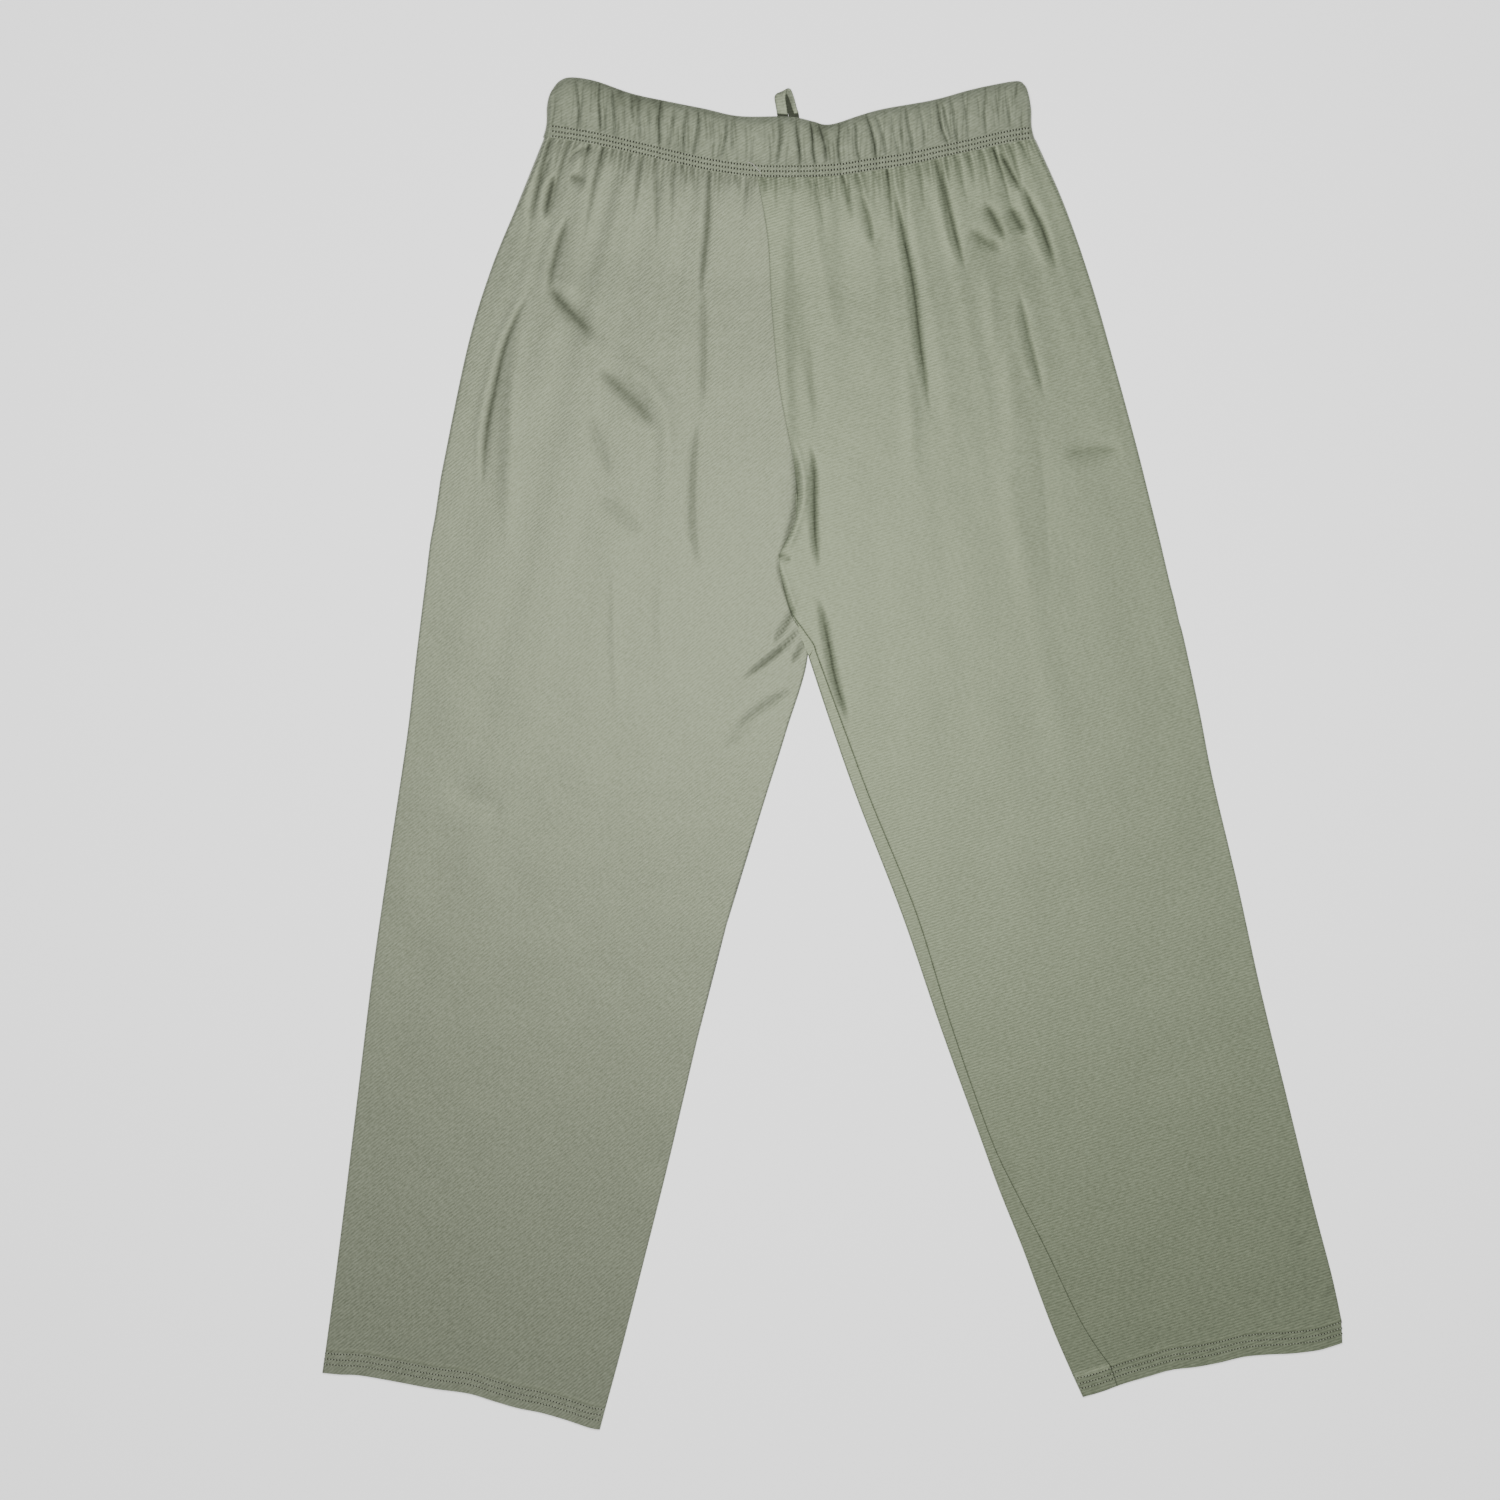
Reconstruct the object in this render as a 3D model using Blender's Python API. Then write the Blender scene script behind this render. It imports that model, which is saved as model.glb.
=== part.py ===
"""Pyjama trousers laid flat with the back upwards: waist towards +Y, resting on Z = 0.

Sizes and tables are in millimetres; a mesh is scaled to metres when it is made.
Across a leg, places run from its inner edge to its outer edge; down it, from waist to hem.
"""
import math

import bmesh
import bpy
import numpy as np

METRES = 0.001

# Cloth
WALL = 1.2                 # one layer of cloth
GAP = 0.3                  # between pieces at a seam, and between layers that lie together
HEM_EXTRA = 0.4            # what the turned-up hem adds to a wall
EDGE_ROUND = 1.4           # how far in from a folded edge the upper face starts to round over
SEAM_ROUND = 0.9           # the same beside a seam
SEAM_DROP = 0.4            # how far the upper face sinks beside a seam
ROUND_MIDDLE = 0.3         # share of a rounding, from its edge, where its middle column lies
LIFT_ROUND = 0.9           # how much further in a rounding starts for each mm its fold is puffed up
LEAST_ROUND = 0.5          # the smallest rounding on the inside of a fold
SHARP_EDGE = 50            # degrees between two facets from which their edge is shaded sharp

# Waistband
CASING = 3.0               # elastic and the cloth on both sides of it
FLANGE = 2.0               # the flat stitched foot of the casing
FLANGE_DEEP = 9.0          # height of that foot
WAIST_HOLLOW = 1.8         # room between the two halves, where the drawstring comes out
BAND_CREST = 0.9           # how far the gathers of the casing stand out
BAND_CREASE_WIDTH = 1.9    # half width of a crease between two of them
BAND_CREASE_EASE = 0.15    # share of the casing's height over which a crease starts or ends
BAND_DEEPEST = 0.7         # how far a crease may go below the plain casing
BAND_END = (-217.5, 151.5)  # the two side folds
FRONT_TUCK = 1.5           # how far the front half's top edge lies below the back's

# Gathers of the legs below the waist seam
LEG_CREST = 1.2            # how far they stand out at the seam
LEG_GATHERS_FADE = 95.0    # where the last of them die out
LEG_GATHER_WIDTH = 2.4     # half width of the furrow between two of them
WAIST_SLOPE = 85.0         # length over which the back rises to the waistband
FOLDS_START = 25.5         # how far below the waist seam the broad folds set in

# Puff of the hip, which keeps the back a little off the front
HIP_PUFF = 0.9
HIP_PUFF_ENDS = 420.0      # below the waist seam

# Drawstring
TAPE_THICK = 1.2
TAPE_RIM = 0.9             # share of the half width where the tape's rounded edge starts

BACK_UNDER = WALL + GAP                             # lower face of the layer on top
HOLLOW_MIDDLE = CASING + WAIST_HOLLOW / 2
BAND_BACK_UNDER = CASING + WAIST_HOLLOW
WAIST_LIFT = BAND_BACK_UNDER - BACK_UNDER

# Waist seam: x, y
WAIST_SEAM = (
    (-222.0, 469.8), (-184.0, 463.5), (-146.5, 455.5), (-121.5, 449.5), (-93.0, 442.8),
    (-63.5, 438.6), (-34.5, 438.0), (1.5, 439.0), (27.0, 442.5), (54.5, 447.0),
    (81.5, 453.0), (107.5, 458.5), (134.5, 464.5), (156.0, 467.5),
)

# Top edge of the waistband: x, y
WAIST_TOP = (
    (-217.5, 494.0), (-216.0, 499.5), (-213.0, 505.0), (-207.5, 511.5), (-198.5, 514.3),
    (-180.0, 511.5), (-152.5, 502.0), (-125.0, 496.0), (-97.5, 490.5), (-70.5, 484.8),
    (-33.5, 484.5), (-15.5, 481.0), (-6.5, 478.5), (3.0, 479.5), (21.0, 485.5),
    (39.5, 490.5), (76.0, 497.0), (103.5, 504.5), (121.5, 508.5), (140.0, 511.5),
    (146.0, 508.5), (149.0, 502.5), (151.5, 492.0),
)

# Centre-front seam, which lies underneath: its top and its foot, x y
FRONT_SEAM = ((-57.0, 438.6), (-18.5, 75.4))

# Sections of the left leg:
# name, outer edge x y, inner edge x y, rows to the next section, columns across the back
LEFT_LEG = (
    ("waist seam", -219.5, 469.5, -57.0, 438.6, 5, 66),
    ("hip top", -238.5, 422.0, -49.0, 391.5, 3, 66),
    ("hip", -259.5, 370.5, -46.0, 338.5, 2, 44),
    ("seat top", -277.5, 311.5, -40.0, 277.5, 2, 30),
    ("seat", -296.0, 222.5, -29.0, 219.5, 1, 24),
    ("seat low", -300.0, 199.0, -27.5, 180.5, 1, 24),
    ("pinch", -302.5, 182.0, -40.0, 151.0, 1, 24),
    ("below pinch", -306.0, 163.0, -37.5, 129.0, 1, 24),
    ("crotch", -308.0, 148.0, -31.5, 108.0, 1, 22),
    ("leg parts", -309.5, 135.0, -18.7, 75.5, 2, 22),
    ("thigh top", -317.0, 74.0, -35.0, 17.0, 2, 20),
    ("thigh", -324.0, 13.5, -53.5, -42.0, 2, 18),
    ("knee", -337.5, -77.5, -80.5, -130.5, 2, 16),
    ("calf", -350.5, -168.5, -103.0, -218.5, 2, 14),
    ("shin", -361.5, -259.0, -123.5, -306.5, 2, 14),
    ("ankle", -372.5, -350.5, -145.5, -394.5, 2, 14),
    ("above hem", -380.0, -410.5, -160.5, -453.5, 1, 14),
    ("hem turn", -385.7, -452.0, -171.8, -495.3, 1, 14),
    ("hem top", -386.0, -454.6, -172.5, -497.8, 1, 14),
    ("hem", -388.4, -471.0, -176.8, -514.1, 0, 14),
)

# Sections of the right leg: name, outer edge x y, inseam x y, inner fold x y, rows, columns.
# Above the crotch the inseam's columns hold the centre-back seam, and the fold isn't used.
RIGHT_LEG = (
    ("waist seam", 155.0, 467.0, -57.0, 438.6, -57.0, 438.6, 5, 87),
    ("hip top", 176.5, 418.5, -49.0, 391.5, -49.0, 391.5, 3, 87),
    ("hip", 196.5, 361.0, -46.0, 338.5, -46.0, 338.5, 2, 58),
    ("seat top", 215.0, 296.5, -40.0, 277.5, -40.0, 277.5, 2, 36),
    ("seat", 231.5, 235.5, -29.0, 219.5, -29.0, 219.5, 1, 26),
    ("seat low", 242.0, 193.5, -27.5, 180.5, -27.5, 180.5, 1, 26),
    ("pinch", 249.5, 163.0, -40.0, 151.0, -40.0, 151.0, 1, 24),
    ("below pinch", 253.0, 148.0, -37.5, 129.0, -37.5, 129.0, 1, 24),
    ("crotch", 257.5, 129.0, -31.5, 108.0, -18.3, 75.3, 1, 22),
    ("fork top", 260.5, 117.5, -22.5, 94.5, -18.1, 74.6, 1, 22),
    ("fork", 264.0, 102.0, -14.5, 83.0, -17.6, 72.6, 1, 22),
    ("leg parts", 268.0, 87.0, -11.5, 74.0, -16.6, 69.0, 2, 22),
    ("thigh top", 279.5, 33.5, 9.0, 18.0, 0.0, 19.0, 2, 20),
    ("thigh", 290.0, -20.0, 29.5, -37.0, 20.0, -37.5, 2, 18),
    ("knee", 309.0, -100.5, 63.5, -121.0, 53.0, -122.5, 2, 16),
    ("calf", 326.5, -180.5, 90.0, -206.0, 82.0, -207.5, 2, 14),
    ("shin", 346.0, -260.5, 119.5, -290.5, 112.5, -292.0, 1, 14),
    ("low shin", 355.5, -299.5, 138.0, -330.5, 127.0, -332.0, 1, 14),
    ("ankle", 366.0, -341.5, 161.0, -374.5, 145.0, -377.0, 2, 14),
    ("above hem", 380.0, -394.5, 188.0, -430.5, 166.0, -433.5, 1, 14),
    ("hem turn", 387.4, -429.0, 210.5, -466.2, 182.7, -472.5, 1, 14),
    ("hem top", 387.6, -431.5, 211.5, -468.5, 183.8, -475.0, 1, 14),
    ("hem", 388.4, -448.0, 216.5, -483.5, 190.5, -489.5, 0, 14),
)

HEM_BOW = (6.0, 4.5)       # how far the middle of the left and right hem is drawn up
HEM_SECTIONS = 3           # the last sections: where the hem's turn starts, where it is full, the hem
BOW_SECTIONS = 3           # sections above those over which the hem's bow sets in
WAIST_SECTIONS = 3         # sections over which the waist's curve dies out

# Rim of the casing, from the foot of its inside to where its outside starts:
# share of its height, height added to that, distance out from its inside
BAND_RIM = (
    (0.0, 0.0, 0.0),
    (1.0, -2.0, 0.0),
    (1.0, -0.5, 0.5),
    (1.0, 0.0, 1.4),
    (1.0, -0.6, 2.4),
)

# Creases of the waistband: x at its top, x at its foot, depth, where it starts, where it ends
# (shares of the casing's height from the stitched foot)
BAND_CREASES = (
    (-195.0, -192.5, 1.3, 0.05, 1.0),
    (-177.0, -176.5, 1.0, 0.1, 1.0),
    (-166.5, -166.0, 1.5, 0.0, 0.95),
    (-152.0, -151.0, 1.0, 0.45, 1.0),
    (-146.5, -147.0, 0.9, 0.1, 1.0),
    (-130.5, -132.0, 1.5, 0.0, 1.0),
    (-120.5, -123.5, 0.8, 0.0, 0.8),
    (-111.0, -113.0, 1.3, 0.0, 0.95),
    (-102.0, -104.5, 1.3, 0.0, 1.0),
    (-90.0, -92.0, 0.7, 0.5, 1.0),
    (-79.0, -85.5, 1.1, 0.1, 0.95),
    (-75.0, -77.0, 0.9, 0.3, 1.0),
    (-59.5, -61.0, 0.6, 0.0, 0.6),
    (-39.5, -41.5, 1.1, 0.0, 1.0),
    (-27.0, -25.5, 1.5, 0.0, 1.0),
    (-18.0, -12.5, 1.5, 0.0, 0.95),
    (-10.0, -4.0, 1.4, 0.1, 1.0),
    (4.0, 5.5, 1.2, 0.0, 1.0),
    (15.5, 20.5, 1.2, 0.0, 0.9),
    (26.0, 33.0, 1.5, 0.0, 1.0),
    (33.0, 40.5, 1.1, 0.0, 0.9),
    (45.0, 49.0, 0.6, 0.0, 0.8),
    (56.0, 59.5, 1.3, 0.0, 1.0),
    (66.0, 70.0, 0.7, 0.1, 1.0),
    (78.0, 86.5, 1.4, 0.0, 1.0),
    (88.5, 95.0, 1.1, 0.0, 1.0),
    (99.0, 103.0, 0.8, 0.0, 1.0),
    (115.0, 116.5, 0.7, 0.1, 1.0),
    (126.0, 127.5, 0.8, 0.3, 1.0),
    (139.5, 138.5, 1.0, 0.4, 1.0),
)

# Gathers of the legs: x at the waist seam, how far their foot leans in x, length, depth
LEG_GATHERS = (
    (-213.0, -22.0, 95.0, 1.1),
    (-200.5, -14.0, 60.0, 1.0),
    (-190.0, -3.0, 22.0, 0.8),
    (-181.0, -20.0, 90.0, 1.1),
    (-167.0, -5.0, 25.0, 0.7),
    (-155.5, -4.0, 20.0, 0.7),
    (-145.0, -3.0, 45.0, 0.9),
    (-133.0, 1.0, 60.0, 0.9),
    (-121.0, 0.0, 25.0, 0.7),
    (-108.0, 1.0, 22.0, 0.8),
    (-95.0, -1.0, 90.0, 1.1),
    (-84.0, 0.0, 20.0, 0.7),
    (-74.0, 1.0, 25.0, 0.7),
    (-53.0, 2.0, 28.0, 0.8),
    (-44.0, 2.0, 20.0, 0.6),
    (-30.0, 3.0, 22.0, 0.8),
    (-15.0, 3.0, 45.0, 0.9),
    (-5.0, 3.0, 25.0, 0.8),
    (7.0, 4.0, 30.0, 1.0),
    (18.0, 5.0, 45.0, 0.9),
    (30.0, 5.0, 60.0, 0.9),
    (42.5, 22.0, 95.0, 1.2),
    (52.5, 6.0, 60.0, 0.9),
    (65.0, 5.0, 35.0, 0.9),
    (79.0, 18.0, 90.0, 1.1),
    (92.0, 6.0, 45.0, 0.9),
    (102.5, 14.0, 60.0, 0.9),
    (113.0, 9.0, 35.0, 0.8),
    (121.5, 16.0, 75.0, 1.2),
    (132.0, 10.0, 40.0, 0.9),
    (143.0, 14.0, 60.0, 0.9),
)

# Largest folds of the back: start x y, middle x y, end x y, half width, height (a trough is below 0)
FOLDS = (
    ("left side trough", -238.0, 392.0, -254.0, 318.0, -266.0, 215.0, 7.0, -0.8),
    ("left side ridge", -226.0, 395.0, -240.0, 318.0, -244.0, 195.0, 9.0, 0.7),
    ("left hip trough", -218.0, 358.0, -206.0, 340.0, -190.0, 322.0, 11.0, -1.0),
    ("left hip ridge", -205.0, 366.0, -186.0, 352.0, -168.0, 338.0, 12.0, 0.6),
    ("seat trough", -188.0, 300.0, -166.0, 279.0, -140.0, 252.0, 15.0, -0.8),
    ("seat ridge", -150.0, 330.0, -132.0, 285.0, -124.0, 232.0, 16.0, 0.8),
    ("seat furrow", -100.0, 345.0, -104.0, 270.0, -102.0, 145.0, 13.0, -0.7),
    ("centre ridge", -47.0, 330.0, -43.0, 245.0, -41.0, 160.0, 10.0, 0.9),
    ("right long furrow", 52.0, 400.0, 66.0, 322.0, 80.0, 254.0, 8.0, -1.0),
    ("right long ridge", 68.0, 395.0, 82.0, 320.0, 92.0, 240.0, 10.0, 0.6),
    ("right hip trough", 112.0, 392.0, 130.0, 380.0, 149.0, 371.0, 11.0, -0.7),
    ("right side ridge", 136.0, 352.0, 142.0, 250.0, 146.0, 112.0, 13.0, 0.7),
    ("right side trough", 146.0, 345.0, 160.0, 260.0, 168.0, 128.0, 11.0, -0.8),
    ("right dimple", 182.0, 232.0, 198.0, 231.0, 214.0, 230.0, 10.0, -0.6),
    ("fork trough", -24.0, 112.0, -12.0, 94.0, 8.0, 44.0, 8.0, -0.8),
    ("left fork ridge", -34.0, 96.0, -52.0, 76.0, -82.0, 50.0, 8.0, 0.5),
)

# Drawstring loop: x, y, z of its left edge and of its right edge, along the middle of the tape's thickness
DRAWSTRING = (
    (-41.9, 468.0, 3.9, -33.9, 468.0, 3.9),
    (-41.9, 477.0, 3.9, -33.9, 477.0, 3.9),
    (-41.9, 485.5, 3.9, -33.8, 485.0, 3.9),
    (-43.0, 492.5, 4.5, -34.9, 492.0, 5.0),
    (-44.0, 499.0, 5.1, -35.8, 499.0, 5.9),
    (-42.7, 501.6, 4.9, -34.6, 504.7, 6.7),
    (-40.8, 500.9, 3.0, -32.2, 505.2, 6.3),
    (-38.0, 497.5, 2.5, -30.2, 501.3, 6.1),
    (-36.2, 494.2, 2.6, -28.7, 496.6, 5.6),
    (-34.8, 490.0, 3.2, -27.2, 491.2, 4.8),
    (-33.2, 485.5, 3.9, -25.6, 486.0, 3.9),
    (-33.2, 477.0, 3.9, -25.2, 477.0, 3.9),
    (-33.2, 468.0, 3.9, -25.2, 468.0, 3.9),
)

# Finish of each piece: linear colour and roughness
FINISHES = {
    "waistband": ((0.30, 0.325, 0.245), 0.60),
    "back_left_leg": ((0.305, 0.325, 0.262), 0.55),
    "back_right_leg": ((0.315, 0.345, 0.258), 0.55),
    "front_left_leg": ((0.30, 0.325, 0.255), 0.55),
    "front_right_leg": ((0.31, 0.34, 0.255), 0.55),
    "drawstring": ((0.29, 0.315, 0.24), 0.65),
}

# Columns and facets of the mesh
FOLD_STEPS = 6             # facets round a folded edge
UNDER_COARSER = 4          # columns on a back panel's upper face for each on its lower face
FRONT_WAIST_COLUMNS = 24   # across a front panel at the curved waist
FRONT_COLUMNS = 12         # and below it
BAND_BACK_COLUMNS = 150
BAND_FRONT_COLUMNS = 30
BAND_FOLD_COLUMNS = 7
TAPE_STEPS = 40
HAIR = 0.001               # keeps a row that lies on a section from counting with the one above
BAND_SHARES = (0.9, 0.7, 0.5, 0.3, 0.1)   # heights of the casing's rows above its stitched foot


def smooth(points, place):
    """A point on a smooth curve through the given points; place counts them from 0."""
    last = len(points) - 1
    index = min(int(place), last - 1)
    share = place - index
    before, start, end, after = (
        np.array(points[min(max(index + step, 0), last)], float) for step in (-1, 0, 1, 2))
    return 0.5 * (2 * start + (end - before) * share
                  + (2 * before - 5 * start + 4 * end - after) * share ** 2
                  + (3 * start - before - 3 * end + after) * share ** 3)


def drawn_through(points, steps=5):
    """A smooth line through points, as two rows of numbers: x and y."""
    return np.array([smooth(points, k / steps) for k in range((len(points) - 1) * steps + 1)]).T


WAIST_SEAM_LINE = drawn_through(WAIST_SEAM)
WAIST_TOP_LINE = drawn_through(WAIST_TOP)


def height_at(line, x):
    """The y of a line that runs from left to right."""
    return float(np.interp(x, line[0], line[1]))


def ease(share):
    """From 0 to 1 without a corner at either end."""
    share = min(max(share, 0.0), 1.0)
    return share * share * (3 - 2 * share)


def quarter_round(share):
    """Height of a quarter circle, from 0 at its foot to 1."""
    share = min(max(share, 0.0), 1.0)
    return math.sqrt(1 - (1 - share) ** 2)


def below_waist(x, y):
    return height_at(WAIST_SEAM_LINE, x) - y


def gather_relief(x, y):
    """How far the gathered cloth of a leg stands above its plain inside."""
    down = max(below_waist(x, y), 0.0)
    if down >= LEG_GATHERS_FADE:
        return 0.0
    relief = LEG_CREST * (1 - ease(down / LEG_GATHERS_FADE))
    for seam_x, lean, length, depth in LEG_GATHERS:
        if down < length:
            away = abs(x - seam_x - lean * down / length)
            relief -= depth * (1 - ease(down / length)) * math.exp(-away / LEG_GATHER_WIDTH)
    return max(relief, 0.0)


def fold_height(x, y):
    """The broad folds of the back: the sum of its ridges and troughs."""
    total = 0.0
    for _, x0, y0, x1, y1, x2, y2, half_width, height in FOLDS:
        nearest = (1e9, 0.0)
        for first, second, offset in (((x0, y0), (x1, y1), 0.0), ((x1, y1), (x2, y2), 0.5)):
            run, rise = second[0] - first[0], second[1] - first[1]
            share = ((x - first[0]) * run + (y - first[1]) * rise) / (run * run + rise * rise)
            share = min(max(share, 0.0), 1.0)
            away = math.hypot(x - first[0] - share * run, y - first[1] - share * rise)
            nearest = min(nearest, (away, offset + share / 2))
        away, along = nearest
        total += height * math.sin(math.pi * (0.1 + 0.8 * along)) * math.exp(-(away / half_width) ** 2)
    return total


def back_inside(x, y, hem):
    """Lower face of a back panel."""
    down = below_waist(x, y)
    lift = WAIST_LIFT * (1 - ease(down / WAIST_SLOPE))
    puff = HIP_PUFF * ease(down / WAIST_SLOPE) * (1 - ease(down / HIP_PUFF_ENDS))
    fade = ease((down - FOLDS_START) / WAIST_SLOPE)
    return BACK_UNDER + lift + max(puff + fade * fold_height(x, y), 0.0) + hem * HEM_EXTRA


class Wall:
    """A closed wall of cloth, built up from rows of points on its outer and inner face."""

    def __init__(self):
        self.points = []
        self.places = []
        self.faces = []

    def row(self, points):
        """Add a row, and note how far along it each of its points lies."""
        steps = [math.dist(a[:2], b[:2]) for a, b in zip(points, points[1:])]
        far = np.concatenate(([0.0], np.cumsum(steps)))
        first = len(self.points)
        self.points += [tuple(point) for point in points]
        self.places += list(far / far[-1])
        return list(range(first, len(self.points)))

    def bridge(self, row, other):
        """Join two rows, which may differ in their number of points."""
        if len(row) == len(other):
            self.ladder(row, other)
            return
        i = j = 0
        while i < len(row) - 1 or j < len(other) - 1:
            row_next = self.places[row[i + 1]] if i < len(row) - 1 else 2.0
            other_next = self.places[other[j + 1]] if j < len(other) - 1 else 2.0
            if row_next <= other_next:
                self.faces.append((row[i], row[i + 1], other[j]))
                i += 1
            else:
                self.faces.append((row[i], other[j + 1], other[j]))
                j += 1

    def ladder(self, row, other):
        """Join two runs of equally many points."""
        for k in range(len(row) - 1):
            self.faces.append((row[k], row[k + 1], other[k + 1], other[k]))

    def build(self, name):
        mesh = bpy.data.meshes.new(name)
        mesh.from_pydata([[c * METRES for c in point] for point in self.points], [], self.faces)
        whole = bmesh.new()
        whole.from_mesh(mesh)
        bmesh.ops.recalc_face_normals(whole, faces=whole.faces)
        whole.to_mesh(mesh)
        whole.free()
        mesh.shade_smooth()
        mesh.set_sharp_from_angle(angle=math.radians(SHARP_EDGE))
        piece = bpy.data.objects.new(name, mesh)
        bpy.context.scene.collection.objects.link(piece)
        colour, roughness = FINISHES[name]
        finish = bpy.data.materials.new(name + "_cloth")
        finish.use_nodes = True
        shader = finish.node_tree.nodes["Principled BSDF"]
        shader.inputs["Base Color"].default_value = (*colour, 1)
        shader.inputs["Roughness"].default_value = roughness
        shader.inputs["Metallic"].default_value = 0.0
        mesh.materials.append(finish)
        return piece


def rows_of(sections):
    """Places of the mesh rows: a whole number is a section."""
    places = []
    for index, section in enumerate(sections):
        rows = section[-2]
        places += [index + k / rows for k in range(rows)]
    return places + [len(sections) - 1]


def columns_at(sections, place):
    return sections[min(int(place + HAIR), len(sections) - 1)][-1]


def hem_at(sections, place):
    """1 where the hem is doubled, otherwise 0."""
    return min(max(place - (len(sections) - HEM_SECTIONS), 0.0), 1.0)


def edge(sections, column, place):
    """A point of the edge whose x and y start at a column of the section table."""
    return smooth([section[column:column + 2] for section in sections], place)


def shifted(start, end, share, place, sections, bow):
    """A point across a row, with the waist's curve near the top and the hem's bow at the foot."""
    x, y = start + (end - start) * share
    fade = max(1 - place / WAIST_SECTIONS, 0.0) ** 2
    if fade > 0:
        first, last = edge(sections, 3, 0), edge(sections, 1, 0)
        top_x, chord_y = first + (last - first) * share
        y += fade * (height_at(WAIST_SEAM_LINE, top_x) - chord_y - GAP / 2)
    near_hem = ease((place - (len(sections) - HEM_SECTIONS - BOW_SECTIONS)) / BOW_SECTIONS)
    y += bow * near_hem * math.sin(math.pi * share)
    return x, y


def across(width, columns, inner_round, outer_round):
    """Shares across a row, with closer points where the edges are rounded."""
    inner = [0.0, ROUND_MIDDLE * inner_round, inner_round]
    outer = [width - outer_round, width - ROUND_MIDDLE * outer_round, width]
    step = (outer[0] - inner[-1]) / columns
    middle = [inner[-1] + step * k for k in range(1, columns)]
    return [d / width for d in inner + middle + outer]


def back_panel(name, sections, bow):
    """A back panel: gathered at the waist, cut at its seams and rounded at its folds."""
    wall = Wall()
    outer_rows, inner_rows = [], []
    for place in rows_of(sections):
        inner_edge, outer_edge = edge(sections, 3, place), edge(sections, 1, place)
        along = (outer_edge - inner_edge) / math.dist(outer_edge, inner_edge)
        inner_edge = inner_edge + along * GAP / 2
        width = math.dist(outer_edge, inner_edge)
        hem = hem_at(sections, place)
        low = BACK_UNDER + hem * HEM_EXTRA
        lift = back_inside(*outer_edge, hem) - low
        outer_round = EDGE_ROUND + LIFT_ROUND * lift
        columns = columns_at(sections, place)
        top, under = [], []
        for share in across(width, columns, SEAM_ROUND, outer_round):
            x, y = shifted(inner_edge, outer_edge, share, place, sections, bow)
            face = back_inside(x, y, hem) + WALL + gather_relief(x, y) + hem * HEM_EXTRA
            face -= SEAM_DROP * (1 - quarter_round(share * width / SEAM_ROUND))
            rise = quarter_round((1 - share) * width / outer_round)
            top.append((x, y, low + (face - low) * rise))
        outer_round = max(outer_round - WALL, LEAST_ROUND)
        for share in across(width - WALL, columns // UNDER_COARSER, SEAM_ROUND, outer_round):
            inset = share * (width - WALL)
            x, y = shifted(inner_edge, outer_edge, inset / width, place, sections, bow)
            rise = quarter_round((width - WALL - inset) / outer_round)
            under.append((x, y, low + (back_inside(x, y, hem) - low) * rise))
        outer_rows.append(wall.row(top))
        inner_rows.append(wall.row(under))
    close_wall(wall, outer_rows, inner_rows)
    return wall.build(name)


def close_wall(wall, outer_rows, inner_rows):
    """Skin both faces of a sheet, and close it round its four edges."""
    for rows in (outer_rows, inner_rows):
        for row, below in zip(rows, rows[1:]):
            wall.bridge(row, below)
    for end in (0, -1):
        wall.bridge(outer_rows[end], inner_rows[end])
        wall.ladder([row[end] for row in outer_rows], [row[end] for row in inner_rows])


def front_sheet(start, end, place, sections, bow, inner_cut):
    """Rows of the lower and upper face of a front panel, from its inner to its outer edge."""
    width = math.dist(start, end)
    hem = hem_at(sections, place)
    below, above = [], []
    inner_round = EDGE_ROUND if inner_cut else SEAM_ROUND
    for share in across(width, front_columns(place), inner_round, EDGE_ROUND):
        x, y = shifted(start, end, share, place, sections, bow)
        thick = WALL + hem * HEM_EXTRA
        rise = quarter_round((1 - share) * width / EDGE_ROUND)
        if inner_cut:
            rise = min(rise, quarter_round(share * width / EDGE_ROUND))
        below.append((x, y, thick * (1 - rise)))
        if share * width >= inner_cut and (1 - share) * width >= EDGE_ROUND / 2:
            above.append((x, y, thick))
    return below, above


def front_columns(place):
    return FRONT_WAIST_COLUMNS if place < 1 else FRONT_COLUMNS


def front_seam(place, parts):
    """A point of the centre-front seam, straight from the waist to the fork, where the legs part."""
    waist, fork = np.array(FRONT_SEAM)
    return waist + (fork - waist) * min(place / parts, 1.0)


def front_left_panel():
    """The front of the left leg: a flat sheet underneath."""
    wall = Wall()
    parts = [row[0] for row in LEFT_LEG].index("leg parts")
    lower_rows, upper_rows = [], []
    for place in range(len(LEFT_LEG)):
        outer_edge = edge(LEFT_LEG, 1, place)
        folded = place > parts
        start = edge(LEFT_LEG, 3, place) if folded else front_seam(place, parts)
        start = start + np.array((-GAP / 2, 0.0))
        below, above = front_sheet(start, outer_edge, place, LEFT_LEG, HEM_BOW[0],
                                   EDGE_ROUND / 2 if folded else 0.0)
        lower_rows.append(wall.row(below))
        upper_rows.append(wall.row(above))
    close_wall(wall, lower_rows, upper_rows)
    return wall.build("front_left_leg")


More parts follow.
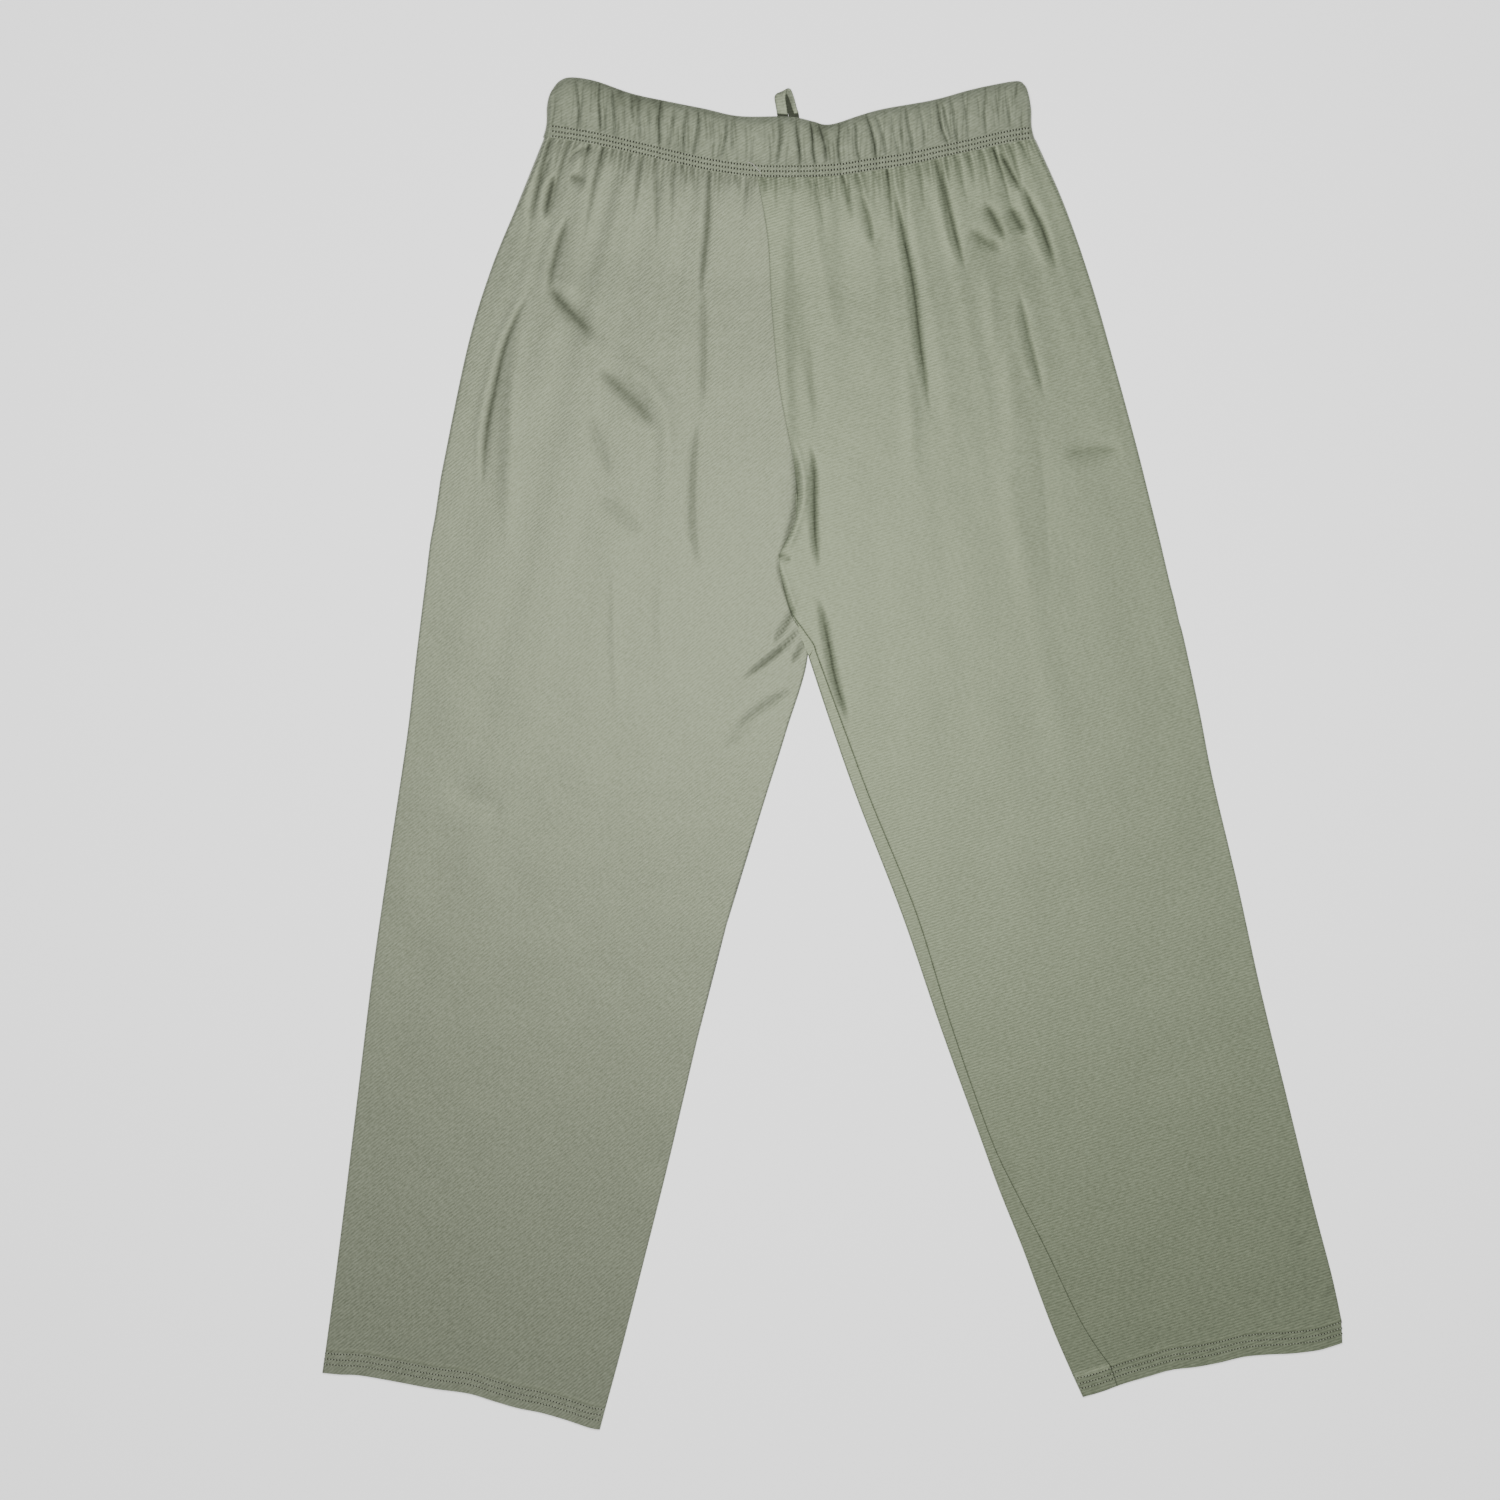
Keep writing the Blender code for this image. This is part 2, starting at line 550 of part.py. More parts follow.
def turned_edge(start, outer_edge, seam, hem):
    """The fold at the inner edge and the strip from it to the inseam, outside and inside."""
    towards_outer = (outer_edge - start) / math.dist(outer_edge, start)
    towards_seam = (seam - start) / math.dist(seam, start)
    lower = WALL + hem * HEM_EXTRA
    middle = lower + GAP / 2
    outside, inside = [], []
    for step in range(1, FOLD_STEPS):
        angle = math.pi * (step / FOLD_STEPS - 0.5)
        turn = step / FOLD_STEPS
        direction = towards_outer * (1 - turn) + towards_seam * turn
        direction = direction / np.linalg.norm(direction)
        for radius, face in ((middle, outside), (GAP / 2, inside)):
            x, y = start + direction * (middle - radius * math.cos(angle))
            face.append((x, y, middle + radius * math.sin(angle)))
    strip_end = seam - towards_seam * GAP / 2
    strip_start = start + towards_seam * middle
    for share in (0.0, 0.5, 1.0):
        x, y = strip_start + (strip_end - strip_start) * share
        drop = SEAM_DROP if share == 1.0 else 0.0
        outside.append((x, y, 2 * middle - drop))
        inside.append((x, y, lower + GAP))
    return outside, inside


def front_right_panel():
    """The front of the right leg: a sheet underneath that turns up round the inner edge."""
    wall = Wall()
    crotch = [row[0] for row in RIGHT_LEG].index("crotch")
    lower_rows, upper_rows, sheet_end = [], [], 0
    turned = []
    for place in [row for row in rows_of(RIGHT_LEG) if row >= crotch or row == int(row)]:
        outer_edge = edge(RIGHT_LEG, 1, place)
        hem = hem_at(RIGHT_LEG, place)
        if place < crotch:
            start = front_seam(place, crotch) + np.array((GAP / 2, 0.0))
            below, above = front_sheet(start, outer_edge, place, RIGHT_LEG, HEM_BOW[1], 0.0)
            below, above = below[::-1], above[::-1]
            sheet_end = len(below), len(above)
            turned.append(False)
        else:
            fold, seam = edge(RIGHT_LEG, 5, place), edge(RIGHT_LEG, 3, place)
            inward = (outer_edge - fold) / math.dist(outer_edge, fold)
            start = fold + inward * (WALL + hem * HEM_EXTRA + GAP / 2)
            below, above = front_sheet(start, outer_edge, place, RIGHT_LEG, HEM_BOW[1], 0.0)
            outside, inside = turned_edge(fold, outer_edge, seam, hem)
            below, above = below[::-1] + outside, above[::-1] + inside
            turned.append(True)
        lower_rows.append(wall.row(below))
        upper_rows.append(wall.row(above))
    step = turned.index(True)
    for rows, kept in ((lower_rows, sheet_end[0]), (upper_rows, sheet_end[1])):
        for index in range(len(rows) - 1):
            last = kept if index == step - 1 else None
            wall.bridge(rows[index], rows[index + 1][:last])
    wall.ladder([row[0] for row in lower_rows], [row[0] for row in upper_rows])
    wall.ladder([row[-1] for row in lower_rows[:step]] + [lower_rows[step][sheet_end[0] - 1]],
                [row[-1] for row in upper_rows[:step]] + [upper_rows[step][sheet_end[1] - 1]])
    wall.bridge(lower_rows[step][sheet_end[0] - 1:], upper_rows[step][sheet_end[1] - 1:])
    wall.ladder([row[-1] for row in lower_rows[step:]], [row[-1] for row in upper_rows[step:]])
    wall.bridge(lower_rows[0], upper_rows[0])
    wall.bridge(lower_rows[-1], upper_rows[-1])
    return wall.build("front_right_leg")


def band_relief(x, share):
    """How far the casing's gathers stand out, at a share of its height above the foot."""
    relief = BAND_CREST
    for top_x, foot_x, depth, start, end in BAND_CREASES:
        started = ease((share - start) / BAND_CREASE_EASE + 0.5)
        not_ended = ease((end - share) / BAND_CREASE_EASE + 0.5)
        away = abs(x - foot_x - (top_x - foot_x) * share)
        relief -= depth * started * not_ended * math.exp(-away / BAND_CREASE_WIDTH)
    return max(relief, -BAND_DEEPEST)


def band_section(x, outward, tuck, gathered):
    """A closed loop of points round the casing; outward is a direction in the x-z plane."""
    near = WAIST_HOLLOW / 2
    relief = [band_relief(x, share) if gathered else 0.0 for share in BAND_SHARES]
    profile = [(share, added, near + out) for share, added, out in BAND_RIM]
    rim_share, rim_added, rim_out = profile.pop()
    profile.append((rim_share, rim_added, rim_out + relief[0] / 2))
    profile += [(share, 0.0, near + CASING + out) for share, out in zip(BAND_SHARES, relief)]
    profile += [(0.0, FLANGE_DEEP, near + FLANGE), (0.0, 0.0, near + FLANGE)]
    loop = []
    for share, added, out in profile:
        point_x = x + outward[0] * out
        foot = height_at(WAIST_SEAM_LINE, point_x) + GAP / 2
        top = height_at(WAIST_TOP_LINE, point_x) - tuck
        if share in BAND_SHARES:
            y = foot + FLANGE_DEEP + (top - foot - FLANGE_DEEP) * share
        else:
            y = foot + (top - foot) * share + added
        loop.append((point_x, y, HOLLOW_MIDDLE + outward[1] * out))
    return loop


def waistband():
    """The casing: one flattened ring, its back half on top of its front half."""
    reach = WAIST_HOLLOW / 2 + CASING
    left, right = BAND_END[0] + reach, BAND_END[1] - reach
    turns = [k / BAND_FOLD_COLUMNS for k in range(1, BAND_FOLD_COLUMNS)]
    sections = [band_section(x, (0, 1), 0.0, True)
                for x in np.linspace(left, right, BAND_BACK_COLUMNS + 1)]
    for turn in turns:
        outward = math.sin(math.pi * turn), math.cos(math.pi * turn)
        sections.append(band_section(right, outward, FRONT_TUCK * turn, False))
    sections += [band_section(x, (0, -1), FRONT_TUCK, False)
                 for x in np.linspace(right, left, BAND_FRONT_COLUMNS + 1)]
    for turn in turns:
        outward = -math.sin(math.pi * turn), -math.cos(math.pi * turn)
        sections.append(band_section(left, outward, FRONT_TUCK * (1 - turn), False))
    wall = Wall()
    loops = [wall.row(section) for section in sections]
    for loop, following in zip(loops, loops[1:] + loops[:1]):
        wall.ladder(loop + loop[:1], following + following[:1])
    return wall.build("waistband")


def drawstring():
    """A flat tape that leaves the waist, folds over and goes back in."""
    line = [smooth(DRAWSTRING, place) for place in np.linspace(0, len(DRAWSTRING) - 1, TAPE_STEPS)]
    section = ((-1, 0), (-TAPE_RIM, 1), (TAPE_RIM, 1), (1, 0), (TAPE_RIM, -1), (-TAPE_RIM, -1))
    wall = Wall()
    loops = []
    middles = [(edges[:3] + edges[3:]) / 2 for edges in line]
    for index, (middle, edges) in enumerate(zip(middles, line)):
        along = middles[min(index + 1, len(line) - 1)] - middles[max(index - 1, 0)]
        half = (edges[3:] - edges[:3]) / 2
        face = np.cross(half, along)
        face *= TAPE_THICK / 2 / np.linalg.norm(face)
        loops.append(wall.row([middle + half * across_tape + face * through
                               for across_tape, through in section]))
    for loop, following in zip(loops, loops[1:]):
        wall.ladder(loop + loop[:1], following + following[:1])
    wall.faces.append(tuple(loops[0]))
    wall.faces.append(tuple(loops[-1]))
    return wall.build("drawstring")


def main():
    for leftover in list(bpy.data.objects):
        bpy.data.objects.remove(leftover, do_unlink=True)
    waistband()
    back_panel("back_left_leg", LEFT_LEG, HEM_BOW[0])
    back_panel("back_right_leg", RIGHT_LEG, HEM_BOW[1])
    front_left_panel()
    front_right_panel()
    drawstring()


main()
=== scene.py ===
"""Pyjama trousers laid flat with the back upwards: satin cloth, gathers, folds and sewing.

Sizes and tables are in millimetres and become metres when a mesh is made. Across a leg, places
run from its inner edge to its outer edge; down it, from the waist to the hem.
"""

import math

import bmesh
import bpy
import numpy as np
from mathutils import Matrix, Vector


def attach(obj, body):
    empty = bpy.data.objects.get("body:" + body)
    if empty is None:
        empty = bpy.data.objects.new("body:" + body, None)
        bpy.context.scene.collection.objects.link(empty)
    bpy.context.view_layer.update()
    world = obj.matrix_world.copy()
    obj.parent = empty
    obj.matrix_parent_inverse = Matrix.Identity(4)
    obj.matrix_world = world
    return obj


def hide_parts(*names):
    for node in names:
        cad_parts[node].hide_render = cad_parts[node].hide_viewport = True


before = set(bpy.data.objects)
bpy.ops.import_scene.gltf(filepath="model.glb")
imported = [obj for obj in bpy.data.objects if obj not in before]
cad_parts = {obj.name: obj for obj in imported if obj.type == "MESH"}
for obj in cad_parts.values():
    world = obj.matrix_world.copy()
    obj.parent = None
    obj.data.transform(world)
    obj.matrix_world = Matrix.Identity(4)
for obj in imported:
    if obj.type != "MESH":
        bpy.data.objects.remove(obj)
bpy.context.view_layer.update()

METRES = 0.001

# Cloth
WALL = 1.2                 # one layer of cloth, as the solids have it
GAP = 0.3                  # between layers that lie together
SEAM_GAP = 0.02            # between two panels that are sewn to each other
HEM_EXTRA = 0.4            # what the turned-up hem adds to a wall
EDGE_ROUND = 1.6           # how far in from a folded edge the upper face starts to round over
SEAM_ROUND = 0.5           # the same beside a seam
CENTRE_SEAM_DARK = 0.2     # how dark the painted shade in the centre-back seam's line is
INSEAM_DARK = 1.0          # and the right inseam's
HEM_LINE_DARK = 0.4        # how dark the painted shade in the line above the turned-up hem is
SEAM_LINE = 0.6            # half width of such a line
SEAM_DROP = 0.06           # how far the upper face sinks beside a seam
LEAST_WALL = 0.2           # what is left of a layer at the bottom of a crease
SOFT_FLOOR = 0.15          # how gently a crease ends on what lies below it
RIPPLE_HEIGHT = 0.12       # unevenness of the smoothed cloth
STREAK_HEIGHT = 0.34       # soft upright folds below the gathers
STREAKS_FADE = 170.0       # length over which they die out
STREAKS_LAST = 0.05        # what is left of them further down

# Waistband
CASING = 3.0               # elastic and the cloth on both sides of it
FLANGE = 2.8               # thickness of its flat stitched foot
FLANGE_DEEP = 9.0          # height of that foot
BAND_FLARE = 0.016         # how much longer the foot is than the top, as a share
BAND_RIM = 1.2             # thickness at the top edge
WAIST_HOLLOW = 1.8         # room between the two halves, where the drawstring comes out
BAND_CREST = 0.6           # how far the gathers of the casing stand out
BAND_END = (-217.5, 151.5)  # x of the two side folds
BAND_MIDDLE = (BAND_END[0] + BAND_END[1]) / 2
FRONT_TUCK = 1.5           # how far the front half's top edge lies below the back's

# Gathers of the legs below the waist seam
LEG_CREST = 1.9            # how far they stand out at the seam
LEG_GATHERS_FADE = 95.0    # where the last of them die out
GATHER_DEEPEN = 1.3        # their depth, for each mm in their table
GATHER_WIDTH = 1.0         # their half width
GATHER_WIDEN = 0.014       # and what each mm of length adds to it
GATHER_LOW = -0.7          # how far below the plain cloth they may reach
FINE_PITCH = 2.6           # the least from one small gather or crease to the next
WAIST_SLOPE = 85.0         # length over which the back rises to the waistband

# Puff of the hip, which keeps the back a little off the front
HIP_PUFF = 0.9
HIP_PUFF_ENDS = 420.0      # below the waist seam
FOLDS_START = 25.5         # how far below the waist seam the broad folds set in

# Drawstring
TAPE_THICK = 1.2
TAPE_SPREAD = 1.05         # how much wider its soft edges lie than its solid, as a share
TAPE_SHADOW = 487.2        # below this y it has painted shade, for the shadow of the waist

FRONT_TOP = WALL                                    # upper face of the layer that lies below
BACK_UNDER = WALL + GAP                             # lower face of the layer on top
HOLLOW_MIDDLE = CASING + WAIST_HOLLOW / 2
BAND_BACK_UNDER = CASING + WAIST_HOLLOW
WAIST_LIFT = BAND_BACK_UNDER - BACK_UNDER

# Sewing
STITCH_PITCH = 2.3
WAIST_STITCH = {"Thread length": 1.4, "Thread width": 0.6, "Hole width": 1.25, "Hole height": 1.9}
HEM_STITCH = {"Thread width": 0.5, "Hole width": 1.05, "Hole height": 1.3}      # where it differs
HOLE_LIFT = 0.12                # how far the dark disc of painted shade in a needle hole lies above the cloth
WAIST_ROWS = (1.0, 4.7, 8.4)    # heights of the stitch rows above the waist seam
WAIST_ROW_INSET = 4.0           # where they end, from the casing's side folds
ROW_WANDER, ROW_WANDER_LENGTH = 0.25, 17.0      # how far they stray up and down, and how fast
HEM_ROWS = (7.0, 11.0, 15.4)    # heights of the rows above the hem's edge
LOOSE_END = ((-64.5, 449.3, 8.0), (-61.5, 448.3, 8.5), (-59.0, 446.3, 8.4), (-57.5, 444.3, 8.3),
             (-55.5, 442.3, 8.2), (-54.5, 440.0, 8.1))      # route of a loose end of thread
LOOSE_END_RADIUS = 0.4

# Looks of the cloth: colours in linear light
SAGE_LEFT = (0.185, 0.204, 0.152)
# the right half's colour is a little darker and greener than the left's: a painted difference in sheen, as
# the two halves' weaves lie differently
SAGE_RIGHT = (0.181, 0.209, 0.144)
SAGE_BAND = (0.190, 0.212, 0.158)
TWILL_TURN = math.radians(62)   # how the weave's lines lie, from across the leg
SLIT_SHADE = 0.25               # painted shade: what is left of the colour at the bottom of a sharp crease
ROUGHNESS = (0.44, 0.95)        # of the open cloth, and of such a bottom

# Studio: lamps and floor are in metres
CAMERA_X, CAMERA_Y = -62.7, 3.0     # the photograph is taken from straight above this point
FRAME_WIDTH = 1143.0                # what the photograph takes in
LENS, SENSOR = 70.0, 36.0
LAMPS = (                           # name, place, size, watts
    ("key", (-0.09, 0.21, 1.55), 0.62, 25.0),
    ("fill", (0.16, -0.38, 2.5), 1.8, 8.0),
)
LAMPS_AIM = (-0.05, 0.05, 0.0)
DAYLIGHT = 0.17
FLOOR_HALF, FLOOR_Z = 6.0, -0.0005
PAPER_GLOW = 0.85                   # the paper is lit from below, as a light table is

# How fine the meshes are
BACK_COLUMNS = {"left": 267, "right": 280}      # points across a back panel
UNDER_COLUMNS = 24         # and across its lower face, which is hidden
FRONT_COLUMNS = 150        # across a front panel
UPPER_EVERY = 6            # its hidden upper face has one in this many of them
EDGE_BENDS = (0.0, 0.05, 0.15, 0.3, 0.5, 0.75, 1.0)     # shares of a rounding where points lie
STRIP_COLUMNS = 16         # across the strip between the inner fold and the inseam
FOLD_STEPS = 10            # facets round that fold
BAND_LOOPS = {"back": 880, "front": 300, "side": 12}    # along the casing
BAND_ROWS, FOOT_ROWS = 30, 9                            # up the casing and up its foot
TAPE_LOOPS = 96            # along the drawstring

# Waist seam: x, y
WAIST_SEAM = (
    (-222.0, 469.8), (-184.0, 463.5), (-146.5, 455.5), (-121.5, 449.5), (-93.0, 442.8),
    (-63.5, 438.6), (-34.5, 438.0), (1.5, 439.0), (27.0, 442.5), (54.5, 447.0),
    (81.5, 453.0), (107.5, 458.5), (134.5, 464.5), (156.0, 467.5),
)

# Top edge of the waistband: x, y
WAIST_TOP = (
    (-217.5, 494.0), (-216.0, 499.5), (-213.0, 505.0), (-207.5, 511.5), (-198.5, 514.3),
    (-180.0, 511.5), (-152.5, 502.0), (-125.0, 496.0), (-97.5, 490.5), (-70.5, 484.8),
    (-33.5, 484.5), (-15.5, 481.0), (-6.5, 478.5), (3.0, 479.5), (21.0, 485.5),
    (39.5, 490.5), (76.0, 497.0), (103.5, 504.5), (121.5, 508.5), (140.0, 511.5),
    (146.0, 508.5), (149.0, 502.5), (151.5, 492.0),
)

# Where the x and y of an edge start in a row of the tables of sections
OUTER, INNER, FOLD = 1, 3, 5

# Edges that a hem's stitch rows lie between, and where they start and end, as shares of the way
BACK, STRIP = (INNER, OUTER), (FOLD, INNER)
ROW_ENDS = {BACK: (0.008, 0.992), STRIP: (0.06, 0.99)}

# Places in the tables of sections
WAIST_CURVE_END = 3        # number of the section where the last of the waist's curve dies out
HEM_TURN = 3               # where the hem turns up, counted back from the end of the table
HEM_WAVES_START = 6        # where its waves set in, counted so too

# Sections of the left leg: name, outer edge x y, inner edge x y
LEFT_LEG = (
    ("waist seam", -219.5, 469.5, -57.0, 438.6),
    ("hip top", -238.5, 422.0, -49.0, 391.5),
    ("hip", -259.5, 370.5, -46.0, 338.5),
    ("seat top", -277.5, 311.5, -40.0, 277.5),
    ("seat", -296.0, 222.5, -29.0, 219.5),
    ("seat low", -300.0, 199.0, -27.5, 180.5),
    ("pinch", -302.5, 182.0, -40.0, 151.0),
    ("below pinch", -306.0, 163.0, -37.5, 129.0),
    ("crotch", -308.0, 148.0, -31.5, 108.0),
    ("leg parts", -309.5, 135.0, -18.7, 75.5),
    ("thigh top", -317.0, 74.0, -35.0, 17.0),
    ("thigh", -324.0, 13.5, -53.5, -42.0),
    ("knee", -337.5, -77.5, -80.5, -130.5),
    ("calf", -350.5, -168.5, -103.0, -218.5),
    ("shin", -361.5, -259.0, -123.5, -306.5),
    ("ankle", -372.5, -350.5, -145.5, -394.5),
    ("above hem", -380.0, -410.5, -160.5, -453.5),
    ("hem turn", -385.7, -452.0, -171.8, -495.3),
    ("hem top", -386.0, -454.6, -172.5, -497.8),
    ("hem", -388.4, -471.0, -176.8, -514.1),
)

# Sections of the right leg: name, outer edge x y, inseam x y, inner fold x y. Above the crotch
# the inseam's columns hold the centre-back seam, and the fold isn't used.
RIGHT_LEG = (
    ("waist seam", 155.0, 467.0, -57.0, 438.6, -57.0, 438.6),
    ("hip top", 176.5, 418.5, -49.0, 391.5, -49.0, 391.5),
    ("hip", 196.5, 361.0, -46.0, 338.5, -46.0, 338.5),
    ("seat top", 215.0, 296.5, -40.0, 277.5, -40.0, 277.5),
    ("seat", 231.5, 235.5, -29.0, 219.5, -29.0, 219.5),
    ("seat low", 242.0, 193.5, -27.5, 180.5, -27.5, 180.5),
    ("pinch", 249.5, 163.0, -40.0, 151.0, -40.0, 151.0),
    ("below pinch", 253.0, 148.0, -37.5, 129.0, -37.5, 129.0),
    ("crotch", 257.5, 129.0, -31.5, 108.0, -18.3, 75.3),
    ("fork top", 260.5, 117.5, -22.5, 94.5, -18.1, 74.6),
    ("fork", 264.0, 102.0, -14.5, 83.0, -17.6, 72.6),
    ("leg parts", 268.0, 87.0, -11.5, 74.0, -16.6, 69.0),
    ("thigh top", 279.5, 33.5, 9.0, 18.0, 0.0, 19.0),
    ("thigh", 290.0, -20.0, 29.5, -37.0, 20.0, -37.5),
    ("knee", 309.0, -100.5, 63.5, -121.0, 53.0, -122.5),
    ("calf", 326.5, -180.5, 90.0, -206.0, 82.0, -207.5),
    ("shin", 346.0, -260.5, 119.5, -290.5, 112.5, -292.0),
    ("low shin", 355.5, -299.5, 138.0, -330.5, 127.0, -332.0),
    ("ankle", 366.0, -341.5, 161.0, -374.5, 145.0, -377.0),
    ("above hem", 380.0, -394.5, 188.0, -430.5, 166.0, -433.5),
    ("hem turn", 387.4, -429.0, 210.5, -466.2, 182.7, -472.5),
    ("hem top", 387.6, -431.5, 211.5, -468.5, 183.8, -475.0),
    ("hem", 388.4, -448.0, 216.5, -483.5, 190.5, -489.5),
)

# Centre-front seam, which lies underneath: its ends at the waist and at the fork
FRONT_SEAM = ((-57.0, 438.6), (-18.5, 75.4))

# How far the hems are drawn up from the straight line between their corners: x, rise
LEFT_HEM = (
    (-389.0, 0.0), (-375.0, 1.5), (-359.0, 4.0), (-331.5, 4.8), (-304.0, 5.2), (-277.0, 7.0),
    (-258.5, 5.2), (-240.0, 3.5), (-222.0, 3.6), (-203.5, 2.1), (-185.0, -0.3), (-176.0, 0.0),
)
RIGHT_HEM = (
    (190.5, 0.0), (203.5, 0.4), (221.5, 3.3), (240.0, 4.8), (258.0, 6.2), (276.5, 4.6), (294.5, 4.2),
    (313.0, 4.8), (331.5, 2.7), (349.5, -0.2), (368.0, -1.8), (377.0, -1.4), (389.0, 0.0),
)

# How far apart the rows of a panel's mesh lie, by the y they lie at: y, spacing
ROW_SPACING = (
    (-520.0, 1.4), (-425.0, 1.8), (-405.0, 7.0), (0.0, 6.0), (60.0, 2.2), (340.0, 2.4), (400.0, 1.5),
    (440.0, 1.0),
)

# Creases of the waistband: x at its top, x at its foot, depth, where it starts, where it ends
# (shares of the casing's height from the stitched foot), how dark the painted shade at its bottom is
BAND_CREASES = (
    (-195.0, -192.5, 1.3, 0.05, 1.0, 0.5),
    (-189.5, -191.0, 0.6, 0.5, 1.0, 0.1),
    (-177.0, -176.5, 1.0, 0.1, 1.0, 0.7),
    (-171.5, -172.0, 0.6, 0.0, 0.9, 0.2),
    (-166.5, -166.0, 1.5, 0.0, 0.95, 0.3),
    (-159.0, -160.0, 0.5, 0.3, 0.9, 0.1),
    (-152.0, -151.0, 1.0, 0.45, 1.0, 0.4),
    (-146.5, -147.0, 0.9, 0.1, 1.0, 0.2),
    (-140.0, -141.0, 0.5, 0.4, 0.9, 0.1),
    (-130.5, -132.0, 1.5, 0.0, 1.0, 0.9),
    (-120.5, -123.5, 0.8, 0.0, 0.8, 0.3),
    (-118.0, -119.0, 0.5, 0.0, 0.5, 0.1),
    (-111.0, -113.0, 1.3, 0.0, 0.95, 0.6),
    (-102.0, -104.5, 1.3, 0.0, 1.0, 0.6),
    (-90.0, -92.0, 0.7, 0.5, 1.0, 0.2),
    (-83.5, -86.0, 0.6, 0.0, 0.6, 0.3),
    (-79.0, -85.5, 1.1, 0.1, 0.95, 0.4),
    (-75.0, -77.0, 0.9, 0.3, 1.0, 0.3),
    (-59.5, -61.0, 0.5, 0.0, 0.6, 0.1),
    (-39.5, -41.5, 1.1, 0.0, 1.0, 0.5),
    (-27.0, -25.5, 1.5, 0.0, 1.0, 0.9),
    (-18.0, -12.5, 1.5, 0.0, 0.95, 1.0),
    (-10.0, -4.0, 1.4, 0.1, 1.0, 0.7),
    (4.0, 5.5, 1.2, 0.0, 1.0, 0.8),
    (10.5, 13.5, 0.6, 0.5, 1.0, 0.3),
    (15.5, 20.5, 1.2, 0.0, 0.9, 0.7),
    (26.0, 33.0, 1.5, 0.0, 1.0, 1.0),
    (33.0, 40.5, 1.1, 0.0, 0.9, 0.4),
    (45.0, 49.0, 0.6, 0.0, 0.8, 0.2),
    (51.0, 54.0, 0.6, 0.3, 1.0, 0.2),
    (56.0, 59.5, 1.3, 0.0, 1.0, 0.5),
    (66.0, 70.0, 0.7, 0.1, 1.0, 0.3),
    (73.0, 76.5, 0.5, 0.4, 1.0, 0.1),
    (78.0, 86.5, 1.4, 0.0, 1.0, 0.8),
    (83.5, 89.0, 0.9, 0.1, 0.9, 0.5),
    (88.5, 95.0, 1.1, 0.0, 1.0, 0.4),
    (99.0, 103.0, 0.8, 0.0, 1.0, 0.3),
    (115.0, 116.5, 0.7, 0.1, 1.0, 0.5),
    (126.0, 127.5, 0.8, 0.5, 1.0, 0.3),
    (132.0, 133.5, 0.5, 0.2, 1.0, 0.2),
    (139.5, 138.5, 1.0, 0.6, 1.0, 0.6),
)

# Painted shadows below the waistband's top edge: x, half width, how far they reach down (a share), darkness
BAND_SHADOWS = (
    (-180.0, 9.0, 0.3, 0.4),
    (-163.0, 8.0, 0.45, 0.6),
    (-148.0, 9.0, 0.35, 0.6),
    (-134.0, 6.0, 0.5, 0.45),
    (-100.0, 30.0, 0.14, 0.25),
    (-14.0, 4.0, 0.5, 0.35),
    (-5.0, 7.0, 0.5, 0.7),
    (9.0, 5.0, 0.35, 0.3),
    (60.0, 8.0, 0.2, 0.15),
)

# Gathers of the legs: x at the waist seam, how far their foot leans in x, length, depth, sharpness (how dark
# their painted shade is)
GATHERS = (
    (-213.0, -22.0, 95.0, 1.2, 0.7),
    (-205.0, -9.0, 34.0, 0.7, 0.3),
    (-199.5, -18.0, 70.0, 1.1, 0.6),
    (-184.5, -7.0, 26.0, 1.1, 0.8),
    (-173.5, -18.0, 88.0, 1.2, 0.7),
    (-166.5, -2.0, 14.0, 0.6, 0.4),
    (-160.0, -2.0, 16.0, 0.6, 0.3),
    (-153.0, -3.0, 20.0, 0.8, 0.4),
    (-144.0, -9.0, 62.0, 1.1, 0.6),
    (-134.5, 0.0, 80.0, 0.9, 0.4),
    (-121.0, -2.0, 52.0, 0.8, 0.3),
    (-115.0, 4.0, 14.0, 0.7, 0.5),
    (-106.5, 2.0, 24.0, 0.8, 0.5),
    (-93.5, -1.0, 20.0, 0.9, 0.2),
    (-84.0, 0.0, 10.0, 0.6, 0.3),
    (-73.5, 3.0, 12.0, 0.7, 0.3),
    (-63.0, -6.0, 40.0, 0.7, 0.3),
    (-53.0, 2.0, 12.0, 0.8, 0.6),
    (-44.0, 2.0, 10.0, 0.5, 0.2),
    (-30.0, 3.0, 16.0, 0.7, 0.3),
    (-19.0, 4.0, 12.0, 0.8, 0.5),
    (-14.5, 10.0, 50.0, 0.8, 0.2),
    (-4.0, 4.0, 24.0, 0.9, 0.4),
    (7.0, 9.0, 42.0, 1.2, 0.8),
    (17.5, 7.0, 26.0, 1.1, 0.6),
    (24.0, 3.0, 22.0, 0.8, 0.4),
    (32.0, 3.0, 14.0, 0.7, 0.4),
    (41.0, 6.0, 60.0, 1.3, 1.0),
    (51.5, 5.0, 60.0, 0.9, 0.5),
    (65.0, 6.0, 44.0, 1.0, 0.6),
    (70.0, 3.0, 14.0, 0.6, 0.3),
    (77.5, 16.0, 84.0, 1.1, 0.6),
    (85.0, 6.0, 30.0, 0.7, 0.3),
    (93.0, 11.0, 46.0, 0.9, 0.4),
    (102.0, 8.0, 34.0, 0.8, 0.4),
    (112.0, 10.0, 44.0, 1.0, 0.6),
    (120.5, 18.0, 60.0, 1.4, 1.0),
    (128.0, 7.0, 24.0, 0.7, 0.4),
    (133.0, 14.0, 50.0, 1.1, 0.7),
    (142.0, 9.0, 22.0, 0.9, 0.5),
    (149.5, 5.0, 14.0, 0.7, 0.3),
)

